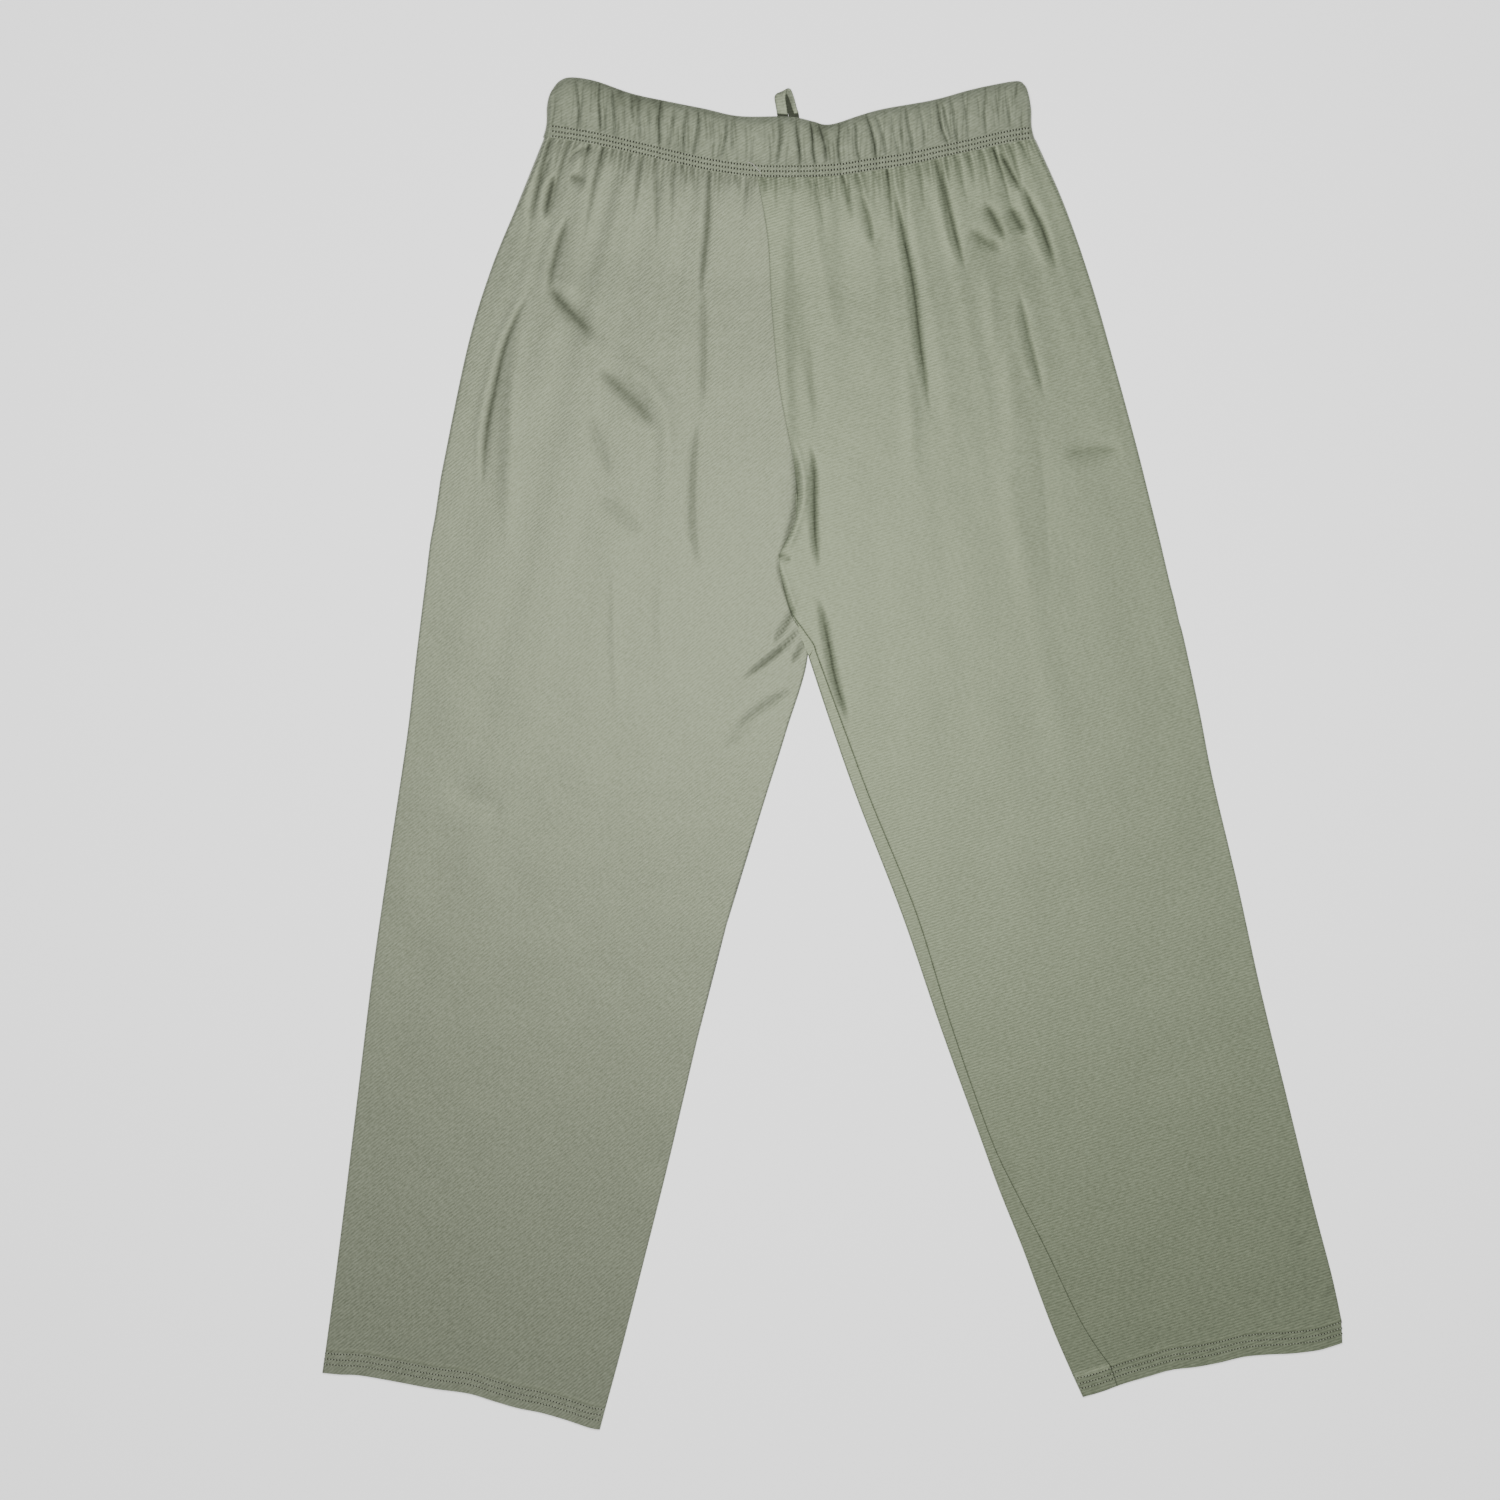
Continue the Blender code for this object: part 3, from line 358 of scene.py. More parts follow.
# Largest folds of the back: start x y, middle x y, end x y, half width, height (a trough is below 0)
FOLDS = (
    ("left side ridge", -226.0, 395.0, -240.0, 318.0, -244.0, 195.0, 9.0, 0.35),
    ("left hip ridge", -205.0, 366.0, -186.0, 352.0, -168.0, 338.0, 12.0, 0.3),
    ("seat ridge", -150.0, 330.0, -132.0, 285.0, -124.0, 232.0, 16.0, 0.4),
    ("seat furrow", -100.0, 345.0, -104.0, 270.0, -102.0, 145.0, 13.0, -0.2),
    ("centre ridge", -47.0, 330.0, -43.0, 245.0, -41.0, 160.0, 10.0, 0.45),
    ("right long furrow", 52.0, 400.0, 66.0, 322.0, 80.0, 254.0, 8.0, -0.5),
    ("right long ridge", 68.0, 395.0, 82.0, 320.0, 92.0, 240.0, 10.0, 0.3),
    ("right hip trough", 112.0, 392.0, 130.0, 380.0, 149.0, 371.0, 11.0, -0.35),
    ("right side ridge", 136.0, 352.0, 142.0, 250.0, 146.0, 112.0, 13.0, 0.35),
    ("right dimple", 182.0, 232.0, 198.0, 231.0, 214.0, 230.0, 10.0, -0.3),
    ("fork trough", -24.0, 112.0, -12.0, 94.0, 8.0, 44.0, 8.0, -0.4),
    ("left fork ridge", -34.0, 96.0, -52.0, 76.0, -82.0, 50.0, 8.0, 0.25),
)

# Creases of the back: route, half width, depth, height of the shoulder on its right (below 0: on its
# left), how dark the painted shade at its bottom is
CREASES = (
    ("left side fold", ((-212, 460), (-224, 430), (-230.5, 403)), 2.5, 1.0, 0.5, 0.35),
    ("left side tuck", ((-210.5, 442), (-215, 425), (-219, 406)), 2.6, 1.7, 0.5, 0.9),
    ("left hip crease", ((-202, 410), (-212, 374), (-216.5, 352)), 2.2, 1.4, 0.3, 0.6),
    ("left hip hollow", ((-219, 360), (-206, 343), (-193, 329.5), (-180, 315)), 4.6, 1.7, -0.3, 0.75),
    ("left pucker", ((-200, 440), (-194, 437), (-187, 436)), 3.4, 1.3, 0.2, 0.55),
    ("left arc", ((-201, 447), (-197, 456), (-188, 460), (-180, 459)), 2.0, 0.8, 0.3, 0.3),
    ("left long crease", ((-229, 356), (-247, 317), (-255.5, 284), (-263, 245), (-267, 200)), 2.0, 1.3,
     0.4, 0.8),
    ("seat hollow", ((-180, 296), (-165, 281), (-147, 264), (-134, 247)), 4.8, 1.4, -0.3, 0.5),
    ("seat low hollow", ((-188, 264), (-178, 237), (-169, 210)), 5.0, 0.8, 0.2, 0.1),
    ("seat lowest hollow", ((-183, 198), (-163, 184), (-145, 166)), 5.5, 0.8, 0.2, 0.1),
    ("seat crease", ((-93.5, 446), (-95, 403), (-99, 365), (-100, 345)), 1.8, 1.2, 0.3, 0.6),
    ("seat middle crease", ((-99.5, 364), (-98.5, 340), (-98, 297), (-100, 258)), 2.8, 0.7, 0.2, 0.25),
    ("seat low crease", ((-100, 262), (-105, 231), (-106.5, 178), (-101, 136)), 2.4, 0.8, 0.2, 0.3),
    ("right long crease", ((44, 440), (53.5, 397), (61.5, 357), (67, 311), (75, 257)), 2.0, 1.9, 0.4, 1.0),
    ("right second crease", ((79, 458), (85, 430), (93, 397), (102, 366)), 2.2, 1.5, 0.4, 0.8),
    ("right short crease", ((21, 428), (26.5, 410), (32, 385)), 2.4, 1.2, 0.3, 0.5),
    ("right side tuck", ((126, 460), (133, 446), (144, 427)), 2.4, 1.6, 0.4, 0.9),
    ("right side crease", ((144, 435), (152, 415), (159.5, 400), (171, 367)), 2.4, 1.8, 0.5, 0.9),
    ("right pucker 1", ((116, 420), (124, 405), (132, 390)), 3.6, 1.6, 0.3, 0.8),
    ("right pucker 2", ((134, 417), (140, 407), (147, 395)), 3.8, 1.6, 0.3, 0.8),
    ("right hollow", ((104, 399), (116, 390), (130, 384)), 5.0, 1.3, -0.3, 0.5),
    ("right side hollow", ((142, 355), (149.5, 317), (162, 270)), 2.2, 1.1, 0.3, 0.45),
    ("right thigh hollow", ((156, 260), (162, 193), (167, 120)), 9.0, 0.3, 0.0, 0.0),
    ("right dip", ((174, 228), (198.5, 230.5), (223, 232)), 5.5, 0.8, 0.1, 0.3),
    ("left thigh fold", ((-297, -20), (-272, -33), (-246, -48)), 6.0, 0.6, 0.2, 0.0),
    ("centre crease", ((-17, 238), (-14, 218), (-13.7, 190), (-13, 165), (-10, 138)), 1.9, 1.8, 0.3, 1.0),
    ("seam side crease", ((-30, 240), (-26.8, 210), (-28, 188), (-34, 166), (-42, 148)), 1.6, 1.2, -0.6, 0.6),
    ("seam trough", ((-31, 398), (-29, 370), (-22, 311), (-14, 266), (-14.5, 236)), 5.0, 0.4, -0.2, 0.1),
    ("seam line", ((-19, 322), (-15.7, 278), (-12, 256)), 2.0, 0.35, 0.1, 0.15),
    ("pinch dent", ((-42.5, 152.5), (-38, 150.5), (-31, 148)), 1.6, 0.7, 0.3, 0.6),
    ("seam below the pinch", ((-43, 152), (-40.5, 138), (-34, 118), (-27, 101)), 1.2, 0.6, -0.3, 0.5),
    ("inner thigh crease", ((-11.5, 122), (-7.5, 106), (-2.2, 80), (2.5, 56), (13, 21)), 2.0, 1.9, 0.4, 1.0),
    ("left fork crease 1", ((-27, 113), (-35, 99), (-46, 83)), 1.6, 1.3, 0.4, 0.7),
    ("left fork crease 2", ((-20, 100), (-38.8, 80), (-52, 69), (-70, 55)), 1.6, 1.4, 0.4, 0.7),
    ("left fork crease 3", ((-19, 90), (-24, 80), (-31, 68)), 1.6, 1.0, 0.2, 0.45),
    ("left fork crease 4", ((-27, 50), (-45, 40), (-58, 31), (-76, 17)), 2.4, 0.9, 0.3, 0.2),
    ("left fork crease 5", ((-60, 24), (-72, 12), (-84, 4)), 4.0, 0.5, 0.2, 0.1),
    ("right ankle pucker 1", ((356, -325), (363, -332), (372, -340)), 4.0, 0.8, 0.3, 0.1),
    ("right ankle pucker 2", ((348, -365), (356, -370), (365, -377)), 4.0, 0.7, 0.3, 0.1),
    ("right hem pucker", ((375, -408), (382, -415), (389, -423)), 4.0, 0.8, 0.3, 0.1),
    ("right inner shin", ((126, -294), (135, -312), (145, -334)), 4.0, 0.6, 0.2, 0.1),
)

# Soft ridges of the back: route, half width, height
RIDGES = (
    ("beside the left side", ((-236, 338), (-243, 290), (-246, 230), (-247, 155)), 6.0, 0.6),
    ("hip shelf", ((-200, 311), (-174, 309.5), (-151, 291), (-131, 268), (-126, 238), (-126, 199),
                   (-131, 145)), 7.0, 0.6),
    ("beside the seam", ((-41, 404), (-39.5, 355), (-37.5, 311), (-34, 251), (-33, 212)), 5.5, 0.6),
    ("right of the seam", ((-21, 434), (-14, 400), (-5, 354), (3, 315)), 6.0, 0.6),
    ("left thigh streak", ((-166.5, 145), (-166, 90), (-163, 28)), 3.5, 0.35),
    ("left middle streak", ((-130, 142), (-131, 110), (-130, 70)), 5.0, 0.35),
    ("right middle streak", ((56, 318), (59, 265), (61, 205)), 6.0, 0.45),
    ("right outer streak", ((131, 345), (135, 270), (138, 190)), 7.0, 0.35),
    ("right thigh streak", ((118, 372), (121, 340), (123, 300)), 5.0, 0.5),
)

# Drawstring loop: x, y, z of its left edge and of its right edge, midway through the tape
DRAWSTRING = (
    (-41.9, 468.0, 3.9, -33.9, 468.0, 3.9),
    (-41.9, 477.0, 3.9, -33.9, 477.0, 3.9),
    (-41.9, 485.5, 3.9, -33.8, 485.0, 3.9),
    (-43.0, 492.5, 4.5, -34.9, 492.0, 5.0),
    (-44.0, 499.0, 5.1, -35.8, 499.0, 5.9),
    (-42.7, 501.6, 4.9, -34.6, 504.7, 6.7),
    (-40.8, 500.9, 3.0, -32.2, 505.2, 6.3),
    (-38.0, 497.5, 2.5, -30.2, 501.3, 6.1),
    (-36.2, 494.2, 2.6, -28.7, 496.6, 5.6),
    (-34.8, 490.0, 3.2, -27.2, 491.2, 4.8),
    (-33.2, 485.5, 3.9, -25.6, 486.0, 3.9),
    (-33.2, 477.0, 3.9, -25.2, 477.0, 3.9),
    (-33.2, 468.0, 3.9, -25.2, 468.0, 3.9),
)


# ---------------------------------------------------------------- lines and easing

def smooth(points, places):
    """Points on a smooth curve through the given ones; places count them from 0."""
    points = np.array(points, float)
    places = np.atleast_1d(np.asarray(places, float))
    last = len(points) - 1
    index = np.clip(places.astype(int), 0, last - 1)
    share = (places - index)[:, None]
    before, start, end, after = (points[np.clip(index + step, 0, last)] for step in (-1, 0, 1, 2))
    return 0.5 * (2 * start + (end - before) * share
                  + (2 * before - 5 * start + 4 * end - after) * share ** 2
                  + (3 * start - before - 3 * end + after) * share ** 3)


def drawn_through(points, steps=8):
    """A smooth line through points, with some steps from each to the next."""
    return smooth(points, np.arange((len(points) - 1) * steps + 1) / steps)


WAIST_SEAM_LINE = drawn_through(WAIST_SEAM).T
WAIST_TOP_LINE = drawn_through(WAIST_TOP).T


def height_at(line, x):
    """The y of a line that runs from left to right."""
    return np.interp(x, line[0], line[1])


def ease(share):
    """From 0 to 1 without a corner at either end."""
    share = np.clip(share, 0.0, 1.0)
    return share * share * (3 - 2 * share)


def quarter_round(share):
    """Height of a quarter circle, from 0 at its foot to 1."""
    share = np.clip(share, 0.0, 1.0)
    return np.sqrt(1 - (1 - share) ** 2)


def beside(x, y, route):
    """Distance of points from a route, above 0 on its right, and how far along it they lie, 0 to 1."""
    line = drawn_through(route, 4)
    runs = np.diff(line, axis=0)
    lengths = np.hypot(runs[:, 0], runs[:, 1])
    starts = np.concatenate(([0.0], np.cumsum(lengths)))
    nearest = np.full(np.shape(x), 1e9)
    side, along = np.zeros(np.shape(x)), np.zeros(np.shape(x))
    for start, run, length, walked in zip(line, runs, lengths, starts):
        off_x, off_y = x - start[0], y - start[1]
        share = np.clip((off_x * run[0] + off_y * run[1]) / length ** 2, 0.0, 1.0)
        away = np.hypot(off_x - share * run[0], off_y - share * run[1])
        nearer = away < nearest
        nearest = np.where(nearer, away, nearest)
        side = np.where(nearer, np.sign(off_x * run[1] - off_y * run[0]), side)
        along = np.where(nearer, (walked + share * length) / starts[-1], along)
    return nearest * side, along


# ---------------------------------------------------------------- relief of the cloth

# Ripples: direction, wave length, phase. Streaks: wave length, phase, how slowly they wander.
RIPPLES = np.random.default_rng(7).uniform((0, 18, 0), (math.pi, 70, 2 * math.pi), (26, 3))
STREAKS = np.random.default_rng(11).uniform((9, 0, 60), (38, 2 * math.pi, 160), (18, 3))
FAN_MIDDLE, FAN = -35.0, 0.0019     # the x that streaks fan out from, and how fast for each mm down


def ripples(x, y):
    """The slight unevenness of a cloth that was smoothed out by hand."""
    total = np.zeros(np.shape(x))
    for direction, wave_length, phase in RIPPLES:
        wave = (x * math.cos(direction) + y * math.sin(direction)) * 2 * math.pi / wave_length
        total += np.sin(wave + phase) * wave_length / 70
    return total / math.sqrt(len(RIPPLES))


def streaks(x, y):
    """Soft upright folds that fan out from the gathers and die out down the leg."""
    down = np.maximum(below_waist(x, y), 0.0)
    fanned = (x - FAN_MIDDLE) / (1 + FAN * down)
    total = np.zeros(np.shape(x))
    for wave_length, phase, wander in STREAKS:
        drift = phase + 0.9 * np.sin(down / wander + 3 * phase)
        total += np.sin(fanned * 2 * math.pi / wave_length + drift) * wave_length / 38
    height = STREAK_HEIGHT * np.exp(-down / STREAKS_FADE) + STREAKS_LAST
    return total / math.sqrt(len(STREAKS)) * height * ease(down / 25)


def scattered(seed, margin, least, most, widest):
    """Rows for the small folds between the ones in a table: x, then draws between least and most."""
    chance = np.random.default_rng(seed)
    x = BAND_END[0] + margin
    rows = []
    while x < BAND_END[1] - margin:
        rows.append((x, *chance.uniform(least, most)))
        x += chance.uniform(FINE_PITCH, widest)
    return rows


# x at the waist seam, lean for each mm from the fan's middle, length, depth, sharpness (how dark their
# painted shade is)
FINE_GATHERS = scattered(5, 3, (0.02, 9, 0.25, 0.15), (0.05, 34, 0.8, 0.5), 5.2)


def below_waist(x, y):
    """How far points lie below the waist seam."""
    return height_at(WAIST_SEAM_LINE, x) - y


def leg_crest(down):
    """How far the gathered cloth of a leg stands out, between its gathers."""
    return LEG_CREST * (1 - ease(down / LEG_GATHERS_FADE))


def gathers(x, y, flip=False):
    """Relief of the gathered cloth of a leg and the painted shade in its gathers; the front's are the back's,
    seen in a mirror.
    """
    down = np.maximum(below_waist(x, y), 0.0)
    relief, painted_shades = leg_crest(down), np.zeros(np.shape(x))
    for seam_x, lean, length, depth, sharp in GATHERS:
        if flip:
            seam_x, lean = 2 * BAND_MIDDLE - seam_x, -lean
        away = np.abs(x - seam_x - lean * (down / length) ** 0.8)
        fade = (1 - ease(down / length)) * ease((down + 6) / 10)
        relief -= GATHER_DEEPEN * depth * fade * np.exp(-away / (GATHER_WIDTH + GATHER_WIDEN * length))
        painted_shades += sharp * fade * np.exp(-(away / 0.9) ** 1.4)
    for seam_x, lean, length, depth, sharp in FINE_GATHERS:
        near = (np.abs(x - seam_x) < 9) & (down < length)
        away = np.abs(x[near] - seam_x - lean * (seam_x - FAN_MIDDLE) * down[near] / length)
        fade = 1 - ease(down[near] / length)
        relief[near] -= depth * fade * np.exp(-away / GATHER_WIDTH)
        painted_shades[near] += sharp * fade * np.exp(-(away / 0.8) ** 2)
    return np.where(down < LEG_GATHERS_FADE, np.maximum(relief, GATHER_LOW), 0.0), painted_shades


def fold_height(x, y):
    """The broad folds of the back: the sum of its ridges and troughs."""
    total = np.zeros(np.shape(x))
    for _, x0, y0, x1, y1, x2, y2, half_width, height in FOLDS:
        away, along = beside(x, y, ((x0, y0), (x1, y1), (x2, y2)))
        total += height * np.sin(math.pi * (0.1 + 0.8 * along)) * np.exp(-(away / half_width) ** 2)
    return total


def near_route(x, y, route, reach):
    """Which points lie in the box round a route."""
    corners = np.array(route)
    low, high = corners.min(0) - reach, corners.max(0) + reach
    return (x > low[0]) & (x < high[0]) & (y > low[1]) & (y < high[1])


def creases(x, y):
    """Height of the creases and soft ridges of the back, and the painted shade in the creases."""
    height, painted_shades = np.zeros(np.shape(x)), np.zeros(np.shape(x))
    for _, route, half_width, depth, shoulder, dark in CREASES:
        near = near_route(x, y, route, 6 * half_width)
        if not near.any():
            continue
        away, along = beside(x[near], y[near], route)
        swell = np.sin(math.pi * np.clip(along, 0.02, 0.98))
        width = half_width * (0.45 + 0.55 * swell ** 0.8)       # narrower towards its ends
        trough = depth * np.exp(-np.abs(away) / width)
        side = away * math.copysign(1, shoulder) / width
        ridge = abs(shoulder) * np.exp(-((side - 3.2) / 1.9) ** 2)      # its shoulder, on one side
        fade = ease(swell / 0.85)
        height[near] += fade * (0.8 * ridge - trough)
        painted_shades[near] += dark * fade * np.exp(-(np.abs(away) / (0.75 * width)) ** 1.4)
    for _, route, half_width, rise in RIDGES:
        near = near_route(x, y, route, 3 * half_width)
        if near.any():
            away, along = beside(x[near], y[near], route)
            height[near] += rise * np.sin(math.pi * along) ** 0.7 * np.exp(-(away / half_width) ** 2)
    return height, painted_shades


def back_inside(x, y, hem):
    """Lower face of a back panel, where its creases may reach down to."""
    lift = WAIST_LIFT * (1 - ease(below_waist(x, y) / WAIST_SLOPE))
    return BACK_UNDER + lift + hem * HEM_EXTRA


def puffed(x, y):
    """How far the hip and its broad folds keep the cloth off its lower face."""
    down = below_waist(x, y)
    puff = HIP_PUFF * ease(down / WAIST_SLOPE) * (1 - ease(down / HIP_PUFF_ENDS))
    return np.maximum(puff + ease((down - FOLDS_START) / WAIST_SLOPE) * fold_height(x, y), 0.0)


def back_outside(x, y, hem):
    """Upper face of a back panel, and the painted shade in its creases and gathers."""
    least = back_inside(x, y, hem) + LEAST_WALL
    gathered, gather_shade = gathers(x, y)
    creased, crease_shade = creases(x, y)
    uneven = RIPPLE_HEIGHT * ripples(x, y) + streaks(x, y)
    spare = WALL - LEAST_WALL + puffed(x, y) + gathered + creased + uneven + hem * HEM_EXTRA
    return least + SOFT_FLOOR * np.logaddexp(0, spare / SOFT_FLOOR), gather_shade + crease_shade


# ---------------------------------------------------------------- walls of cloth

def linked(name, data):
    """A new object in the scene."""
    made = bpy.data.objects.new(name, data)
    bpy.context.scene.collection.objects.link(made)
    return made


class Wall:
    """A closed wall of cloth, built up from rows of points on its outer and inner face."""

    def __init__(self):
        self.points = []
        self.painted_shades = []
        self.places = []
        self.faces = []

    def row(self, points, painted_shades=None):
        """Add a row, and note how far along it each of its points lies."""
        points = np.asarray(points, float)
        steps = np.linalg.norm(np.diff(points[:, :2], axis=0), axis=1)
        far = np.concatenate(([0.0], np.cumsum(steps)))
        first = len(self.places)
        self.points.append(points)
        self.painted_shades.append(np.zeros(len(points)) if painted_shades is None else painted_shades)
        self.places += list(far / far[-1])
        return list(range(first, len(self.places)))

    def bridge(self, row, other):
        """Join two rows, which may differ in their number of points."""
        if len(row) == len(other):
            self.ladder(row, other)
            return
        i = j = 0
        while i < len(row) - 1 or j < len(other) - 1:
            row_next = self.places[row[i + 1]] if i < len(row) - 1 else 2.0
            other_next = self.places[other[j + 1]] if j < len(other) - 1 else 2.0
            if row_next <= other_next:
                self.faces.append((row[i], row[i + 1], other[j]))
                i += 1
            else:
                self.faces.append((row[i], other[j + 1], other[j]))
                j += 1

    def ladder(self, row, other):
        """Join two runs of equally many points."""
        self.faces += zip(row, row[1:], other[1:], other)

    def rings(self, loops):
        """Join each closed loop to the next."""
        for loop, following in zip(loops, loops[1:]):
            self.ladder(loop + loop[:1], following + following[:1])

    def build(self, name, cloth):
        """The wall as an object, with its painted shade as an attribute of its points."""
        mesh = bpy.data.meshes.new(name)
        mesh.from_pydata(np.concatenate(self.points) * METRES, [], self.faces)
        whole = bmesh.new()
        whole.from_mesh(mesh)
        bmesh.ops.recalc_face_normals(whole, faces=whole.faces)
        whole.to_mesh(mesh)
        whole.free()
        mesh.shade_smooth()
        mesh.set_sharp_from_angle(angle=math.radians(60))
        painted_shade = mesh.attributes.new("painted_shade", "FLOAT", "POINT")
        painted_shade.data.foreach_set("value", np.clip(np.concatenate(self.painted_shades), 0, 1).astype(np.float32))
        mesh.materials.append(cloth)
        return linked(name, mesh)


def number_of(sections, name):
    """The place of the section of that name."""
    return [section[0] for section in sections].index(name)


def rows_of(sections, coarse=1.0):
    """Places of the mesh rows, closer where the cloth is creased; a whole number is a section's."""
    heights, spacings = zip(*ROW_SPACING)
    places = []
    middles = [(section[OUTER + 1] + section[INNER + 1]) / 2 for section in sections]
    for index, (middle, following) in enumerate(zip(middles, middles[1:])):
        length = middle - following
        rows = math.ceil(length / (coarse * np.interp(middle - length / 2, heights, spacings)))
        places += [index + k / rows for k in range(rows)]
    return places + [len(sections) - 1]


def hem_at(sections, place):
    """1 where the hem is doubled, otherwise 0."""
    return np.clip(place - (len(sections) - HEM_TURN), 0.0, 1.0)


def edge(sections, column, places):
    """Points of the edge whose x and y start at a column of the table."""
    return smooth([section[column:column + 2] for section in sections], places)


def hem_rise(x, places, sections, wave):
    """How far a point near the hem is drawn up."""
    line = drawn_through(wave).T
    start, full = len(sections) - HEM_WAVES_START, len(sections) - HEM_TURN
    return height_at(line, x) * ease((places - start) / (full - start))


def shifted(start, end, shares, places, sections, wave):
    """Points across rows, with the waist's curve near the top and the hem's waves at the foot."""
    places = np.atleast_1d(places)[:, None]
    x = start[:, :1] + (end - start)[:, :1] * shares
    y = start[:, 1:] + (end - start)[:, 1:] * shares
    first, last = edge(sections, INNER, 0), edge(sections, OUTER, 0)
    top_x = first[:, :1] + (last - first)[:, :1] * shares
    chord_y = first[:, 1:] + (last - first)[:, 1:] * shares
    fade = np.maximum(1 - places / WAIST_CURVE_END, 0.0) ** 2
    y = y + fade * (height_at(WAIST_SEAM_LINE, top_x) - chord_y - GAP / 2)
    return x, y + hem_rise(x, places, sections, wave)


def across(widths, columns, inner_rounds, outer_rounds):
    """Shares across rows, with closer points where the edges are rounded; widths are a column."""
    bends = np.array(EDGE_BENDS)
    inner = bends * inner_rounds
    outer = widths - bends[::-1] * outer_rounds
    spread = np.linspace(0, 1, columns + 1)[1:-1]
    middle = inner[:, -1:] + (outer[:, :1] - inner[:, -1:]) * spread
    return np.concatenate((inner, middle, outer), axis=1) / widths


def back_panel(name, sections, wave, columns, cloth):
    """A back panel: gathered at the waist, cut at its seams and rounded at its folds."""
    parts, crotch = number_of(sections, "leg parts"), number_of(sections, "crotch")
    folded_inner = len(sections[0]) == FOLD
    places = np.array(rows_of(sections))
    hems = hem_at(sections, places)[:, None]
    inner_edges, outer_edges = edge(sections, INNER, places), edge(sections, OUTER, places)
    widths = np.linalg.norm(outer_edges - inner_edges, axis=1)[:, None]
    inner_edges = inner_edges + (outer_edges - inner_edges) / widths * SEAM_GAP / 2
    low = BACK_UNDER + hems * HEM_EXTRA
    edge_x, edge_y = outer_edges[:, :1], outer_edges[:, 1:]
    lift = back_inside(edge_x, edge_y, hems) + puffed(edge_x, edge_y) - low
    outer_rounds = EDGE_ROUND + 0.9 * lift
    turned = folded_inner * ease((places - parts + 0.2) / 0.4)[:, None]
    inner_rounds = SEAM_ROUND + (EDGE_ROUND - SEAM_ROUND) * turned

    shares = across(widths, columns, inner_rounds, outer_rounds)
    x, y = shifted(inner_edges, outer_edges, shares, places, sections, wave)
    face, painted_shades = back_outside(x, y, hems)
    foot = quarter_round(shares * widths / inner_rounds)
    face = face - (SEAM_DROP + (face - low - SEAM_DROP) * turned) * (1 - foot)
    # painted shade in the lines of the seams and of the hem's turn
    seam_shade = CENTRE_SEAM_DARK + (INSEAM_DARK - CENTRE_SEAM_DARK) * ease(places - crotch + 1)[:, None]
    painted_shades = painted_shades + seam_shade * (1 - turned) * np.exp(-(shares * widths / SEAM_LINE) ** 2)
    painted_shades = painted_shades + HEM_LINE_DARK * (1 - np.abs(2 * hems - 1))
    rise = quarter_round((1 - shares) * widths / outer_rounds)
    top = np.stack((x, y, low + (face - low) * rise), axis=-1)

    at_end = (places < WAIST_CURVE_END) | (places > len(sections) - HEM_TURN - 1)
    kept = (places == places.astype(int)) | at_end
    under_rounds = np.maximum(outer_rounds - WALL, SEAM_ROUND)
    insets = across(widths - WALL, UNDER_COLUMNS, 0 * widths + SEAM_ROUND, under_rounds) * (widths - WALL)
    x, y = shifted(inner_edges, outer_edges, insets / widths, places, sections, wave)
    rise = quarter_round((widths - WALL - insets) / under_rounds)
    under = np.stack((x, y, low + (back_inside(x, y, hems) - low) * rise), axis=-1)[kept]

    return shell(name, cloth, top, painted_shades, under)


def shell(name, cloth, face, painted_shades, hidden_face):
    """A closed wall from the rows of points of its two faces; the hidden one may have fewer."""
    wall = Wall()
    rows = [wall.row(points, row_shade) for points, row_shade in zip(face, painted_shades)]
    hidden_rows = [wall.row(points) for points in hidden_face]
    for skin in (rows, hidden_rows):
        for row, below in zip(skin, skin[1:]):
            wall.bridge(row, below)
    for end in (0, -1):
        wall.bridge(rows[end], hidden_rows[end])
        join_sides(wall, [row[end] for row in rows], [row[end] for row in hidden_rows])
    return wall.build(name, cloth)


def join_sides(wall, side, other):
    """Join the ends of two sets of rows, by how far down the leg they lie."""
    places = np.concatenate(wall.points)
    for line in (side, other):
        steps = np.linalg.norm(np.diff(places[line][:, :2], axis=0), axis=1)
        far = np.concatenate(([0.0], np.cumsum(steps)))
        for index, share in zip(line, far / far[-1]):
            wall.places[index] = share
    wall.bridge(side, other)


def front_seam(places, last):
    """Points of the centre-front seam: straight from the waist to the fork, at the last section."""
    waist, fork = np.array(FRONT_SEAM)
    return waist + (fork - waist) * np.minimum(places / last, 1.0)[:, None]


def front_sheet(starts, ends, places, sections, wave, inner_folded):
    """The lower and upper face of a front panel in rows from its inner to its outer edge.

    inner_folded says which rows are rounded at their inner edge too.
    """
    widths = np.linalg.norm(ends - starts, axis=1)[:, None]
    hems = hem_at(sections, places)[:, None]
    shares = across(widths, FRONT_COLUMNS, 0 * widths + EDGE_ROUND, 0 * widths + EDGE_ROUND)
    x, y = shifted(starts, ends, shares, places, sections, wave)
    thick = FRONT_TOP + hems * HEM_EXTRA
    rise = quarter_round((1 - shares) * widths / EDGE_ROUND)
    inner_rise = quarter_round(shares * widths / EDGE_ROUND)
    rise = np.where(inner_folded[:, None], np.minimum(rise, inner_rise), rise)
    gathered, painted_shades = gathers(x, y, flip=True)
    down = below_waist(x, y)
    dent = np.where(down < LEG_GATHERS_FADE, leg_crest(down) - gathered, 0.0)
    dent = np.clip(dent, 0.0, WALL - LEAST_WALL)
    below = np.stack((x, y, np.maximum(thick * (1 - rise), dent)), axis=-1)
    halfway = EDGE_BENDS.index(0.5)     # the hidden upper face ends halfway up the roundings
    above = np.stack((x, y, thick + 0 * x), axis=-1)[:, halfway:-halfway]
    kept = np.unique(np.append(np.arange(0, above.shape[1], UPPER_EVERY), above.shape[1] - 1))
    return below, above[:, kept], painted_shades


